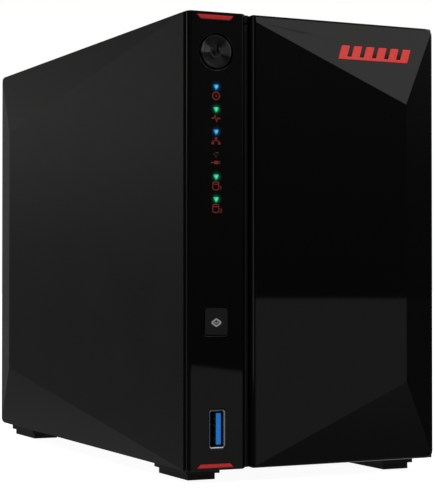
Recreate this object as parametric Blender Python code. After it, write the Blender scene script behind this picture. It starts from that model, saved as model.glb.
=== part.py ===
"""Two-bay desktop network storage (NAS) enclosure, as an assembly of separate pieces.

Run it with: blender --background --python part.py, or from Blender's text editor.

The row frame is in metres: +Z up, -Y towards the front, +X to the right as seen from the front. The origin is
on the table, in the middle of the footprint. Every size below is in millimetres, and MM turns it into metres
when a mesh is made.
"""

import math

import bmesh
import bpy
from mathutils import Matrix, Vector

MM = 0.001

# Driving sizes of the whole enclosure
WIDTH, DEPTH, HEIGHT = 102.0, 218.0, 165.0
FOOT_HEIGHT = 4.6
GAP = 0.3  # between pieces that are seated on each other
SLIDE_GAP = 0.4  # between pieces that slide past each other

SIDE_X = WIDTH / 2
FRONT_Y, REAR_Y = -DEPTH / 2, DEPTH / 2
BODY_LOW, BODY_TOP = FOOT_HEIGHT, HEIGHT

# Outer cover: a faceted U-shaped shell that slides off backwards
COVER_FRONT_Y = -106.0
INNER_X = 47.4  # half the width of its cavity
INNER_TOP = 162.2
FACET_BACK_Y = 90.3  # upright crease near the rear of each side
FACET_HIGH_Z, FACET_LOW_Z = 137.7, 30.7
FACET_SETBACK = 2.4  # how far each rear corner stands in from the side
FACET_START_INSET = 0.6
COVER_ROUNDING, COVER_EDGE = 2.4, 0.7
LIP_FRONT_Y, LIP_REAR_Y = 102.9, 104.9  # the cover's inward lip, which laps over the rear panel
LIP_OPEN_X, LIP_OPEN_TOP = 43.8, 156.0
THUMB_SCREW_X, THUMB_SCREW_Z = 33.0, 159.1

# Front bezel, the control panel on its left and the door on its right
BEZEL_REAR_Y = -96.0
DOOR_SEAT_Y, PANEL_SEAT_Y = -105.0, -106.0
COLUMN_SPLIT_X = -25.9
PANEL_LEFT_X, PANEL_RIGHT_X = -50.45, -27.9
DOOR_LEFT_X, DOOR_RIGHT_X = -25.6, 51.0
DOOR_CREASE_X, DOOR_CREASE_START = 37.8, 2.6  # the upper crease starts this far below the top
DOOR_CREASE_HIGH_Z, DOOR_CREASE_LOW_Z = 135.8, 33.4
DOOR_SETBACK = 2.8
DOOR_BACK_Y = DOOR_SEAT_Y - GAP
DOOR_LOW, DOOR_TOP = BODY_LOW, BODY_TOP
DOOR_EDGE = 0.8

DOOR_FIXING_Z = (159.7, 9.2)  # the door's pegs and magnets meet the bezel's top and bottom rails
DOOR_PEG_X = (-19.0, 24.0)
MAGNET_X = -6.0

# Red accent strips: the ends of the wide edge, the ends of the narrow edge, then the outer and inner heights
STRIP_WIDE, STRIP_NARROW = (-46.9, -32.9), (-45.5, -34.2)
STRIP_HEIGHTS = {"accent_strip_top": (163.9, 162.55), "accent_strip_bottom": (5.5, 6.8)}
STRIP_DEPTH = 1.0

# Controls on the panel
CONTROL_X = -39.6
POWER_BUTTON_Z, POWER_BUTTON_R = 151.0, 6.2
COPY_BUTTON_Z, COPY_BUTTON_SIZE = 56.4, (8.8, 9.3)
LIGHT_TOP_Z, LIGHT_PITCH, LIGHT_COUNT = 138.7, 7.88, 6
LIGHT_R = 1.1  # from the middle of a triangular window to its corners, one of which points down
USB_X, FRONT_USB_Z = -39.2, 18.9
BUTTON_GAP = 0.3
SWITCH_TRAVEL_GAP = 1.1  # from a button's stem to its switch

# Circuit boards
BOARD_THICKNESS = 1.6
MAIN_BOARD_X = -44.4
MAIN_BOARD_FACE_X = MAIN_BOARD_X + BOARD_THICKNESS
FRONT_BOARD_Y = -97.6
BACKPLANE_Y = 62.2

# Drive bays, trays and 3.5 inch drives
CAGE_LEFT_X, CAGE_RIGHT_X = -24.4, 45.8
CAGE_LOW, CAGE_TOP = 25.2, 140.8
CAGE_SHEET = 1.0
CAGE_FRONT_Y, CAGE_REAR_Y = -94.4, 58.0
BAY_MIDDLE_X = (CAGE_LEFT_X + CAGE_RIGHT_X) / 2
TRAY_WIDTH = 33.0
TRAY_X = (BAY_MIDDLE_X - 17.1, BAY_MIDDLE_X + 17.1)
TRAY_FRONT_Y, TRAY_PANEL_BACK_Y, TRAY_REAR_Y = -99.5, -96.2, 55.0
TRAY_LOW, TRAY_TOP = 26.7, 139.3
TRAY_PANEL_LOW, TRAY_PANEL_TOP = 12.0, 157.0
BAY_OPENING_LOW, BAY_OPENING_TOP = 11.5, 157.5
DRIVE_SIZE = (26.1, 147.0, 101.6)
DRIVE_FRONT_Y = -91.0
DRIVE_LOW = 32.2
HANDLE_PIVOT_Y, HANDLE_PIVOT_Z, HANDLE_TOP_Z = -101.3, 31.0, 138.0
HANDLE_WIDTH = 15.0
LATCH_Z = 143.5

# Rear end
REAR_PANEL_Y, REAR_PANEL_SHEET = 101.6, 1.0
PORT_REAR_Y = REAR_PANEL_Y + REAR_PANEL_SHEET + 1.2
FAN_X, FAN_Z, FAN_SIZE, FAN_DEPTH = 9.0, 92.0, 70.0, 20.0
FAN_BORE_R, FAN_SCREW_OFFSET = 33.0, 30.75
FAN_REAR_Y = REAR_PANEL_Y - GAP
REAR_USB_Z = (112.0, 94.0)
LAN_Z, POWER_JACK_Z, RESET_Z = 68.0, 28.0, 134.0

# Feet: a moulded block on the pan, with a rubber pad under it
FOOT_BLOCK_OUT_X, FOOT_BLOCK_IN_X = 46.6, 33.4
FOOT_Y_SPANS = {"front": (-98.5, -69.7), "rear": (69.7, 98.5)}
FOOT_PAD_INSET = 1.3
FOOT_PAD_HEIGHT = 2.3

SMOOTH_ANGLE = math.radians(35)
CREASE_ANGLE = math.radians(0.5)  # for the faceted pieces, whose flats meet at a few degrees


# ---------------------------------------------------------------- scene, materials and small helpers


def clear_scene():
    for obj in list(bpy.data.objects):
        bpy.data.objects.remove(obj, do_unlink=True)


def new_collection(name):
    collection = bpy.data.collections.new(name)
    bpy.context.scene.collection.children.link(collection)
    return collection


def principled(name, colour, roughness, metallic=0.0):
    material = bpy.data.materials.new(name)
    material.use_nodes = True
    shader = material.node_tree.nodes["Principled BSDF"]
    shader.inputs["Base Color"].default_value = (*colour, 1.0)
    shader.inputs["Roughness"].default_value = roughness
    shader.inputs["Metallic"].default_value = metallic
    material.diffuse_color = (*colour, 1.0)
    return material


def make_materials():
    return {
        "matte_black": principled("matte_black", (0.018, 0.018, 0.017), 0.55),
        "gloss_black": principled("gloss_black", (0.004, 0.004, 0.004), 0.06),
        "button_black": principled("button_black", (0.02, 0.02, 0.02), 0.3, 0.4),
        "inner_black": principled("inner_black", (0.02, 0.02, 0.02), 0.45),
        "red": principled("red", (0.62, 0.02, 0.03), 0.3),
        "clear": principled("clear", (0.85, 0.9, 0.9), 0.1),
        "blue": principled("blue", (0.02, 0.2, 0.75), 0.35),
        "steel": principled("steel", (0.55, 0.56, 0.57), 0.35, 1.0),
        "aluminium": principled("aluminium", (0.62, 0.63, 0.65), 0.3, 1.0),
        "board_green": principled("board_green", (0.01, 0.09, 0.035), 0.4),
        "rubber": principled("rubber", (0.012, 0.012, 0.012), 0.85),
    }


def finish_object(name, mesh, origin, material, collection):
    obj = bpy.data.objects.new(name, mesh)
    obj.location = Vector(origin) * MM
    collection.objects.link(obj)
    if material:
        mesh.materials.append(MATERIALS[material])
    return obj


def part(name, bm, material, origin=(0, 0, 0)):
    """Makes a visible piece from bm, which is in millimetres in the row frame, with its origin at origin."""
    bmesh.ops.translate(bm, verts=bm.verts, vec=-Vector(origin))
    bmesh.ops.scale(bm, verts=bm.verts, vec=(MM, MM, MM))
    bmesh.ops.recalc_face_normals(bm, faces=bm.faces)
    mesh = bpy.data.meshes.new(name)
    bm.to_mesh(mesh)
    bm.free()
    return finish_object(name, mesh, origin, material, PARTS)


def tool(name, bm):
    """Makes a helper solid for a Boolean. It isn't part of the object."""
    obj = part(name, bm, None)
    PARTS.objects.unlink(obj)
    TOOLS.objects.link(obj)
    obj.hide_render = True
    obj.display_type = "WIRE"
    return obj


def boolean(obj, other, operation):
    modifier = obj.modifiers.new(f"{operation.lower()}_{other.name}", "BOOLEAN")
    modifier.operation = operation
    modifier.object = other
    return obj


def cut(obj, other):
    return boolean(obj, other, "DIFFERENCE")


def join(obj, other):
    return boolean(obj, other, "UNION")


def solid():
    return bmesh.new()


def add_box(bm, low, high):
    low, high = Vector(low), Vector(high)
    place = Matrix.Translation((low + high) / 2) @ Matrix.Diagonal((*(high - low), 1))
    return bmesh.ops.create_cube(bm, size=1, matrix=place)["verts"]


def box(low, high):
    bm = solid()
    add_box(bm, low, high)
    return bm


def boxes(pairs):
    """One mesh that holds several boxes that don't touch."""
    bm = solid()
    for low, high in pairs:
        add_box(bm, low, high)
    return bm


TURN_TO = {
    "X": Matrix.Rotation(math.pi / 2, 4, "Y"),
    "Y": Matrix.Rotation(-math.pi / 2, 4, "X"),
    "Z": Matrix.Identity(4),
}


def add_cylinder(bm, centre, radius, length, axis, segments=24, end_radius=None):
    """A cylinder, or a cone whose far end along axis has end_radius."""
    return bmesh.ops.create_cone(
        bm,
        cap_ends=True,
        segments=segments,
        radius1=radius,
        radius2=radius if end_radius is None else end_radius,
        depth=length,
        matrix=Matrix.Translation(centre) @ TURN_TO[axis],
    )["verts"]


def cylinder(centre, radius, length, axis, segments=24, end_radius=None):
    bm = solid()
    add_cylinder(bm, centre, radius, length, axis, segments, end_radius)
    return bm


def round_edges(bm, radius, axis, segments=3, where=None):
    """Rounds the edges that run along axis, or those of them whose middle passes the test where."""
    index = "XYZ".index(axis)
    picked = []
    for edge in bm.edges:
        along = edge.verts[1].co - edge.verts[0].co
        middle = (edge.verts[1].co + edge.verts[0].co) / 2
        if abs(along[index]) > 0.99 * along.length and (where is None or where(middle)):
            picked.append(edge)
    bmesh.ops.bevel(bm, geom=picked, offset=radius, segments=segments, profile=0.5, affect="EDGES")
    return bm


def slice_off(bm, a, b, c, keep):
    """Cuts a convex solid with the plane through a, b and c, and keeps the side that holds the point keep."""
    a, b, c = Vector(a), Vector(b), Vector(c)
    normal = (b - a).cross(c - a).normalized()
    if normal.dot(Vector(keep) - a) > 0:
        normal.negate()
    everything = bm.verts[:] + bm.edges[:] + bm.faces[:]
    done = bmesh.ops.bisect_plane(
        bm, geom=everything, dist=1e-4, plane_co=a, plane_no=normal, clear_outer=True
    )
    rim = [g for g in done["geom_cut"] if isinstance(g, bmesh.types.BMEdge)]
    bmesh.ops.holes_fill(bm, edges=rim, sides=0)
    return bm


def prism(outline, low, high, axis):
    """A flat outline made solid between low and high along axis. Outline points are the other two coordinates."""
    curve = bpy.data.curves.new("outline", "CURVE")
    curve.dimensions = "2D"
    curve.fill_mode = "BOTH"
    curve.extrude = (high - low) / 2
    spline = curve.splines.new("POLY")
    spline.points.add(len(outline) - 1)
    for point, (u, v) in zip(spline.points, outline):
        point.co = (u, v, 0, 1)
    spline.use_cyclic_u = True
    drawn = bpy.data.objects.new("outline", curve)
    bm = solid()
    bm.from_mesh(drawn.to_mesh())
    bpy.data.objects.remove(drawn)
    bmesh.ops.remove_doubles(bm, verts=bm.verts, dist=1e-4)
    middle = (low + high) / 2
    if axis == "Z":
        place = Matrix.Translation((0, 0, middle))
    elif axis == "Y":  # outline is (x, z)
        place = Matrix.Translation((0, middle, 0)) @ Matrix.Rotation(math.pi / 2, 4, "X")
    else:  # outline is (y, z)
        turn = Matrix.Rotation(math.pi / 2, 4, "Z") @ Matrix.Rotation(math.pi / 2, 4, "X")
        place = Matrix.Translation((middle, 0, 0)) @ turn
    bmesh.ops.transform(bm, matrix=place, verts=bm.verts)
    return bm


def joint_empty(name, place, children):
    """An empty on a joint's axis or line of travel, with the moving pieces under it."""
    empty = bpy.data.objects.new(name, None)
    empty.location = Vector(place) * MM
    empty.empty_display_size = 10 * MM
    PARTS.objects.link(empty)
    for child in children:
        child.parent = empty
        child.matrix_parent_inverse = Matrix.Translation(-empty.location)
    return empty


# ---------------------------------------------------------------- outer cover


def faces_sideways(face):
    return abs(face.normal.x) > 0.9


def faces_up_or_back(face):
    return abs(face.normal.x) < 0.5 and (face.normal.z > 0.1 or face.normal.y > 0.1)


def make_cover():
    bm = box((-SIDE_X, COVER_FRONT_Y, BODY_LOW), (SIDE_X, REAR_Y, BODY_TOP))
    round_edges(bm, COVER_ROUNDING, "X", 3, lambda middle: middle.y > 0)
    inside = (0, 0, HEIGHT / 2)
    corner_x = SIDE_X - FACET_SETBACK
    for side in (-1, 1):
        high = (side * SIDE_X, FACET_BACK_Y, FACET_HIGH_Z)
        low = (side * SIDE_X, FACET_BACK_Y, FACET_LOW_Z)
        start_high = (side * SIDE_X, COVER_FRONT_Y, BODY_TOP - FACET_START_INSET)
        start_low = (side * SIDE_X, COVER_FRONT_Y, BODY_LOW + FACET_START_INSET / 2)
        corner_high = (side * corner_x, REAR_Y, BODY_TOP)
        corner_low = (side * corner_x, REAR_Y, BODY_LOW)
        slice_off(bm, start_high, high, corner_high, inside)
        slice_off(bm, start_low, low, corner_low, inside)
        slice_off(bm, high, low, corner_high, inside)
    bmesh.ops.dissolve_limit(bm, angle_limit=0.001, verts=bm.verts, edges=bm.edges)
    bm.normal_update()
    outline = [edge for edge in bm.edges if is_between(edge, faces_sideways, faces_up_or_back)]
    bmesh.ops.bevel(bm, geom=outline, offset=COVER_EDGE, segments=2, profile=0.5, affect="EDGES")
    cover = part("outer_cover", bm, "matte_black")
    cavity = box((-INNER_X, COVER_FRONT_Y - 1, 0), (INNER_X, REAR_Y + 1, INNER_TOP))
    door_step = box((COLUMN_SPLIT_X, COVER_FRONT_Y - 1, 0), (SIDE_X + 1, DOOR_SEAT_Y, HEIGHT + 1))
    lip = box((-INNER_X - 0.5, LIP_FRONT_Y, BODY_LOW + 0.4), (INNER_X + 0.5, LIP_REAR_Y, INNER_TOP + 0.5))
    opening = box((-LIP_OPEN_X, LIP_FRONT_Y - 1, 0), (LIP_OPEN_X, LIP_REAR_Y + 1, LIP_OPEN_TOP))
    screw_holes = solid()
    for side in (-1, 1):
        centre = (side * THUMB_SCREW_X, LIP_REAR_Y, THUMB_SCREW_Z)
        add_cylinder(screw_holes, centre, 1.8, 8, "Y", 16)
    cut(cover, tool("cover_cavity", cavity))
    cut(cover, tool("cover_door_step", door_step))
    join(cover, tool("cover_lip", lip))
    cut(cover, tool("cover_rear_opening", opening))
    cut(cover, tool("cover_screw_holes", screw_holes))
    return cover


def make_thumb_screw(name, x):
    """A captive thumb screw: a ridged head outside the lip, and a shank that reaches the rear panel's flange."""
    head = cylinder((x, LIP_REAR_Y + 0.2 + 1.8, THUMB_SCREW_Z), 2.9, 3.6, "Y", 20)
    screw = part(name, head, "steel", origin=(x, LIP_REAR_Y, THUMB_SCREW_Z))
    shank = cylinder((x, LIP_REAR_Y - 1.5, THUMB_SCREW_Z), 1.45, 6.0, "Y", 12)
    return join(screw, tool(f"{name}_shank", shank))


# ---------------------------------------------------------------- front: bezel, panel, controls and door


def make_bezel():
    """The frame inside the cover's mouth, with the opening for the trays and one behind the control panel."""
    half = INNER_X - SLIDE_GAP
    low, top = BODY_LOW + 0.2, INNER_TOP - SLIDE_GAP
    block = box((-half, DOOR_SEAT_Y, low), (half, BEZEL_REAR_Y, top))
    bezel = part("front_bezel", block, "matte_black")
    step = box((-half, PANEL_SEAT_Y, low), (COLUMN_SPLIT_X, DOOR_SEAT_Y + 1, top))
    bay = box(
        (CAGE_LEFT_X + CAGE_SHEET, PANEL_SEAT_Y - 5, BAY_OPENING_LOW),
        (CAGE_RIGHT_X - CAGE_SHEET, BEZEL_REAR_Y + 5, BAY_OPENING_TOP),
    )
    column = box((-45.4, PANEL_SEAT_Y - 5, 9.0), (-29.2, BEZEL_REAR_Y + 5, 159.8))
    button_relief = cylinder((CONTROL_X, PANEL_SEAT_Y, POWER_BUTTON_Z), POWER_BUTTON_R + 0.8, 6, "Y", 36)
    peg_holes = solid()
    for x in DOOR_PEG_X:
        for z in DOOR_FIXING_Z:
            add_cylinder(peg_holes, (x, DOOR_SEAT_Y, z), 1.3, 8, "Y", 12)
    pockets = boxes(
        [
            ((MAGNET_X - 4.6, DOOR_SEAT_Y - 1, z - 1.9), (MAGNET_X + 4.6, DOOR_SEAT_Y + 1, z + 1.9))
            for z in DOOR_FIXING_Z
        ]
    )
    join(bezel, tool("bezel_step", step))
    cut(bezel, tool("bezel_bay_opening", bay))
    cut(bezel, tool("bezel_column_opening", column))
    cut(bezel, tool("bezel_button_relief", button_relief))
    cut(bezel, tool("bezel_peg_holes", peg_holes))
    cut(bezel, tool("bezel_strike_pockets", pockets))
    return bezel


def strip_outline(outer_z, inner_z, grow):
    """The trapezoid of an accent strip, wide towards the panel's end, grown by grow on every side."""
    away = 1 if outer_z > inner_z else -1
    return [
        (STRIP_WIDE[0] - grow, outer_z + away * grow),
        (STRIP_WIDE[1] + grow, outer_z + away * grow),
        (STRIP_NARROW[1] + grow, inner_z - away * grow),
        (STRIP_NARROW[0] - grow, inner_z - away * grow),
    ]


def make_control_panel():
    """The glossy column: a stepped slab with a wide chamfer on its right, and holes for every control."""
    back_y = PANEL_SEAT_Y - GAP
    profile = [
        (PANEL_LEFT_X, back_y),
        (PANEL_LEFT_X, FRONT_Y + 1.5),
        (PANEL_LEFT_X + 1.15, FRONT_Y),
        (PANEL_RIGHT_X - 1.4, FRONT_Y),
        (PANEL_RIGHT_X, FRONT_Y + 1.4),
        (PANEL_RIGHT_X, back_y),
    ]
    panel = part("control_panel", prism(profile, BODY_LOW, BODY_TOP, "Z"), "gloss_black")
    holes = solid()
    add_cylinder(holes, (CONTROL_X, FRONT_Y, POWER_BUTTON_Z), POWER_BUTTON_R + BUTTON_GAP, 12, "Y", 40)
    for z in light_heights():
        add_cylinder(holes, (CONTROL_X, FRONT_Y, z), LIGHT_R + 0.2, 12, "Y", 3)
    half_x = COPY_BUTTON_SIZE[0] / 2 + BUTTON_GAP
    half_z = COPY_BUTTON_SIZE[1] / 2 + BUTTON_GAP
    copy_hole = box(
        (CONTROL_X - half_x, FRONT_Y - 5, COPY_BUTTON_Z - half_z),
        (CONTROL_X + half_x, FRONT_Y + 5, COPY_BUTTON_Z + half_z),
    )
    usb_hole = box(
        (USB_X - 3.2, FRONT_Y - 5, FRONT_USB_Z - 6.95), (USB_X + 3.2, FRONT_Y + 5, FRONT_USB_Z + 6.95)
    )
    cut(panel, tool("panel_round_holes", holes))
    cut(panel, tool("panel_copy_hole", round_edges(copy_hole, 1.0, "Y")))
    cut(panel, tool("panel_usb_hole", round_edges(usb_hole, 1.0, "Y")))
    for name, (outer_z, inner_z) in STRIP_HEIGHTS.items():
        pocket = prism(strip_outline(outer_z, inner_z, 0.1), FRONT_Y - 1, FRONT_Y + STRIP_DEPTH, "Y")
        cut(panel, tool(f"{name}_pocket", pocket))
    return panel


def make_accent_strips():
    for name, (outer_z, inner_z) in STRIP_HEIGHTS.items():
        outline = strip_outline(outer_z, inner_z, 0.0)
        part(name, prism(outline, FRONT_Y + 0.05, FRONT_Y + STRIP_DEPTH - 0.1, "Y"), "red")


def light_heights():
    return [LIGHT_TOP_Z - LIGHT_PITCH * i for i in range(LIGHT_COUNT)]


def make_power_button():
    """A turned button with a dished face, a retaining flange and a stem, with its origin on its axis."""
    back_y = PANEL_SEAT_Y - GAP
    profile = [
        (0.0, FRONT_Y + 0.4),
        (POWER_BUTTON_R * 0.55, FRONT_Y + 0.3),
        (POWER_BUTTON_R - 0.8, FRONT_Y + 0.05),
        (POWER_BUTTON_R - 0.3, FRONT_Y + 0.1),
        (POWER_BUTTON_R, FRONT_Y + 0.4),
        (POWER_BUTTON_R, back_y + 0.1),
        (POWER_BUTTON_R + 0.6, back_y + 0.1),
        (POWER_BUTTON_R + 0.6, back_y + 1.3),
        (2.6, back_y + 1.3),
        (2.6, SWITCH_TIP_Y - SWITCH_TRAVEL_GAP),
        (0.0, SWITCH_TIP_Y - SWITCH_TRAVEL_GAP),
    ]
    bm = solid()
    previous = None
    for radius, y in profile:
        vert = bm.verts.new((radius, y, 0))
        if previous:
            bm.edges.new((previous, vert))
        previous = vert
    bmesh.ops.spin(
        bm,
        geom=bm.verts[:] + bm.edges[:],
        cent=(0, 0, 0),
        axis=(0, 1, 0),
        angle=2 * math.pi,
        steps=36,
        use_merge=True,
    )
    bmesh.ops.remove_doubles(bm, verts=bm.verts, dist=1e-3)
    bmesh.ops.translate(bm, verts=bm.verts, vec=(CONTROL_X, 0, POWER_BUTTON_Z))
    button = part("power_button", bm, "button_black", origin=(CONTROL_X, FRONT_Y, POWER_BUTTON_Z))
    joint_empty("power_button_axis", (CONTROL_X, FRONT_Y, POWER_BUTTON_Z), [button])
    return button


def make_copy_button():
    back_y = PANEL_SEAT_Y - GAP
    half_x, half_z = COPY_BUTTON_SIZE[0] / 2, COPY_BUTTON_SIZE[1] / 2
    cap = box(
        (CONTROL_X - half_x, FRONT_Y, COPY_BUTTON_Z - half_z),
        (CONTROL_X + half_x, back_y + 0.6, COPY_BUTTON_Z + half_z),
    )
    round_edges(cap, 0.9, "Y")
    button = part("copy_button", cap, "button_black", origin=(CONTROL_X, FRONT_Y, COPY_BUTTON_Z))
    flange = box(
        (CONTROL_X - half_x - 0.9, back_y + 0.1, COPY_BUTTON_Z - half_z - 0.9),
        (CONTROL_X + half_x + 0.9, back_y + 1.3, COPY_BUTTON_Z + half_z + 0.9),
    )
    stem_back = SWITCH_TIP_Y - SWITCH_TRAVEL_GAP
    stem = cylinder((CONTROL_X, (back_y + stem_back) / 2, COPY_BUTTON_Z), 2.2, stem_back - back_y, "Y", 16)
    join(button, tool("copy_button_flange", flange))
    join(button, tool("copy_button_stem", stem))
    joint_empty("copy_button_axis", (CONTROL_X, FRONT_Y, COPY_BUTTON_Z), [button])
    return button


def make_light_pipe():
    """One clear moulding: six three-sided pips through the panel, joined by a bar behind it."""
    back_y = PANEL_SEAT_Y - GAP
    heights = light_heights()
    bar = box((CONTROL_X - 1.6, back_y + 0.1, heights[-1] - 2), (CONTROL_X + 1.6, back_y + 1.8, heights[0] + 2))
    pipe = part("light_pipe", bar, "clear")
    pips = solid()
    for z in heights:
        add_cylinder(pips, (CONTROL_X, (FRONT_Y + back_y) / 2 + 0.4, z), LIGHT_R, back_y - FRONT_Y + 0.7, "Y", 3)
    return join(pipe, tool("light_pipe_pips", pips))


SWITCH_DEPTH = 3.6
PLUNGER_DEPTH = 0.8
SWITCH_TIP_Y = FRONT_BOARD_Y - 0.1 - SWITCH_DEPTH - PLUNGER_DEPTH


def make_switch(name, z):
    body_front = FRONT_BOARD_Y - 0.1 - SWITCH_DEPTH
    body = box((CONTROL_X - 3, body_front, z - 3), (CONTROL_X + 3, FRONT_BOARD_Y - 0.1, z + 3))
    switch = part(name, round_edges(body, 0.4, "Y", 1), "inner_black")
    plunger = cylinder((CONTROL_X, body_front - PLUNGER_DEPTH / 2 + 0.1, z), 1.7, PLUNGER_DEPTH + 0.2, "Y", 12)
    return join(switch, tool(f"{name}_plunger", plunger))


def make_front_board():
    back = FRONT_BOARD_Y + BOARD_THICKNESS
    board = part("front_board", box((-45.0, FRONT_BOARD_Y, 46), (-30.0, back, 158)), "board_green")
    lamps = boxes(
        [
            ((CONTROL_X - 1.6, FRONT_BOARD_Y - 1.2, z - 0.9), (CONTROL_X + 1.6, FRONT_BOARD_Y + 0.3, z + 0.9))
            for z in light_heights()
        ]
    )
    return join(board, tool("front_board_lamps", lamps))


def make_usb_socket(name, z, mouth_y, direction):
    """A USB type A socket: a folded steel shell and the blue tongue on its insulator."""
    back_y = mouth_y + direction * 15.5
    low_y, high_y = sorted((mouth_y, back_y))
    outer = round_edges(box((USB_X - 2.9, low_y, z - 6.6), (USB_X + 2.9, high_y, z + 6.6)), 0.7, "Y", 2)
    shell = part(f"{name}_shell", outer, "steel")
    inner_low, inner_high = sorted((mouth_y - direction, back_y + direction))
    inner = box((USB_X - 2.56, inner_low, z - 6.25), (USB_X + 2.56, inner_high, z + 6.25))
    cut(shell, tool(f"{name}_shell_inner", round_edges(inner, 0.4, "Y", 1)))
    block_low, block_high = sorted((back_y - direction * 4.5, back_y - direction * 0.3))
    block = box((USB_X - 2.35, block_low, z - 5.9), (USB_X + 2.35, block_high, z + 5.9))
    insulator = part(f"{name}_tongue", block, "blue")
    tip_low, tip_high = sorted((mouth_y + direction * 0.8, back_y - direction * 3.5))
    tip = box((USB_X + 0.1, tip_low, z - 5.5), (USB_X + 1.9, tip_high, z + 5.5))
    join(insulator, tool(f"{name}_tongue_tip", tip))
    return shell


def make_door():
    """The pull-off door: a plate whose face is cut into a flat field and three sloping facets."""
    bm = box((DOOR_LEFT_X, FRONT_Y, DOOR_LOW), (DOOR_RIGHT_X, DOOR_BACK_Y, DOOR_TOP))
    round_edges(bm, 2.6, "Y", 4, lambda middle: middle.x > 0)
    round_edges(bm, 0.8, "Y", 2, lambda middle: middle.x < 0)
    inside = (0, DOOR_BACK_Y, HEIGHT / 2)
    start_x = DOOR_LEFT_X + 1.6
    high = (DOOR_CREASE_X, FRONT_Y, DOOR_CREASE_HIGH_Z)
    low = (DOOR_CREASE_X, FRONT_Y, DOOR_CREASE_LOW_Z)
    corner_high, corner_low = door_corner(DOOR_TOP), door_corner(DOOR_LOW)
    slice_off(bm, (start_x, FRONT_Y, DOOR_TOP - DOOR_CREASE_START), high, corner_high, inside)
    slice_off(bm, (start_x, FRONT_Y, DOOR_LOW + 0.9), low, corner_low, inside)
    slice_off(bm, high, low, corner_high, inside)
    bmesh.ops.dissolve_limit(bm, angle_limit=0.001, verts=bm.verts, edges=bm.edges)
    bm.normal_update()
    outline = [edge for edge in bm.edges if is_between(edge, faces_front, faces_outward)]
    bmesh.ops.bevel(bm, geom=outline, offset=DOOR_EDGE, segments=2, profile=0.5, affect="EDGES")
    edge_y = FRONT_Y + 1.4
    slice_off(bm, (DOOR_LEFT_X, edge_y, 0), (DOOR_LEFT_X, edge_y, 1), (start_x, FRONT_Y, 0), inside)
    door = part("front_door", bm, "gloss_black", origin=(0, DOOR_BACK_Y, HEIGHT / 2))
    recesses = boxes(
        [
            ((x, DOOR_BACK_Y - 1.6, z), (x + 16.0, DOOR_BACK_Y + 1, z + 28.5))
            for x in (-20.0, -2.4, 15.2)
            for z in (20.0, 50.0, 80.0, 110.0)
        ]
    )
    magnet_pockets = boxes(
        [
            ((MAGNET_X - 4.2, DOOR_BACK_Y - 1.4, z - 1.7), (MAGNET_X + 4.2, DOOR_BACK_Y + 1, z + 1.7))
            for z in DOOR_FIXING_Z
        ]
    )
    pegs = solid()
    for x in DOOR_PEG_X:
        for z in DOOR_FIXING_Z:
            add_cylinder(pegs, (x, DOOR_BACK_Y + 0.9, z), 1.0, 3.2, "Y", 12)
    cut(door, tool("door_recesses", recesses))
    cut(door, tool("door_magnet_pockets", magnet_pockets))
    cut(door, tool("door_emblem_pocket", emblem_solid(0.12, 3.0)))
    join(door, tool("door_pegs", pegs))
    return door


def faces_front(face):
    return face.normal.y < -0.9


def faces_outward(face):
    return abs(face.normal.y) < 0.5 and face.normal.x > -0.9


def is_between(edge, first, second):
    """True where the edge joins a face that passes the first test to one that passes the second."""
    a, b = edge.link_faces
    return (first(a) and second(b)) or (first(b) and second(a))


def door_corner(z):
    return Vector((DOOR_RIGHT_X, FRONT_Y + DOOR_SETBACK, z))


EMBLEM_X, EMBLEM_Z = (9.4, 40.9), (151.3, 156.4)
EMBLEM_DEPTH, EMBLEM_RAIL, EMBLEM_BARS = 0.4, 1.0, 6


def door_facet_y(x, z):
    """Where the upper facet of the door lies at x and z."""
    a = Vector((DOOR_LEFT_X + 1.6, FRONT_Y, DOOR_TOP - DOOR_CREASE_START))
    b = Vector((DOOR_CREASE_X, FRONT_Y, DOOR_CREASE_HIGH_Z))
    normal = (b - a).cross(door_corner(DOOR_TOP) - a)
    return a.y - (normal.x * (x - a.x) + normal.z * (z - a.z)) / normal.y


def emblem_solid(grow, lift):
    """A plain row of slanted bars on a thin rail, let into the facet, grown by grow and raised by lift."""
    (left, right), (low, high) = EMBLEM_X, EMBLEM_Z
    slant = (high - low) * 0.35
    pitch = (right - slant - left) / (EMBLEM_BARS - 0.35)
    outline = [(left - grow, low - grow), (left + EMBLEM_BARS * pitch - 0.35 * pitch + grow, low - grow)]
    rail = low + EMBLEM_RAIL
    rail_slant = slant * EMBLEM_RAIL / (high - low)
    for i in reversed(range(EMBLEM_BARS)):
        bar_left = left + i * pitch
        bar_right = bar_left + 0.65 * pitch
        if i < EMBLEM_BARS - 1:
            outline.append((bar_right + rail_slant + grow, rail + grow))
        outline.append((bar_right + slant + grow, high + grow))
        outline.append((bar_left + slant - grow, high + grow))
        if i > 0:
            outline.append((bar_left + rail_slant - grow, rail + grow))
    bm = prism(outline, 0, EMBLEM_DEPTH + grow / 2, "Y")
    for vert in bm.verts:
        surface = door_facet_y(vert.co.x, vert.co.z)
        vert.co.y = surface + vert.co.y if vert.co.y > 0.01 else surface - lift
    return bm


def make_emblem():
    (left, right), (low, high) = EMBLEM_X, EMBLEM_Z
    return part("door_emblem", emblem_solid(0.0, 0.0), "red", origin=((left + right) / 2, FRONT_Y, (low + high) / 2))


def make_magnets():
    made = []
    for name, z in zip(("upper", "lower"), DOOR_FIXING_Z):
        magnet = box((MAGNET_X - 4, DOOR_BACK_Y - 1.3, z - 1.5), (MAGNET_X + 4, DOOR_BACK_Y - 0.1, z + 1.5))
        made.append(part(f"door_magnet_{name}", magnet, "steel"))
        plate = box((MAGNET_X - 4.4, DOOR_SEAT_Y + 0.1, z - 1.7), (MAGNET_X + 4.4, DOOR_SEAT_Y + 0.9, z + 1.7))
        part(f"strike_plate_{name}", plate, "steel")
    return made


# ---------------------------------------------------------------- base


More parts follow.
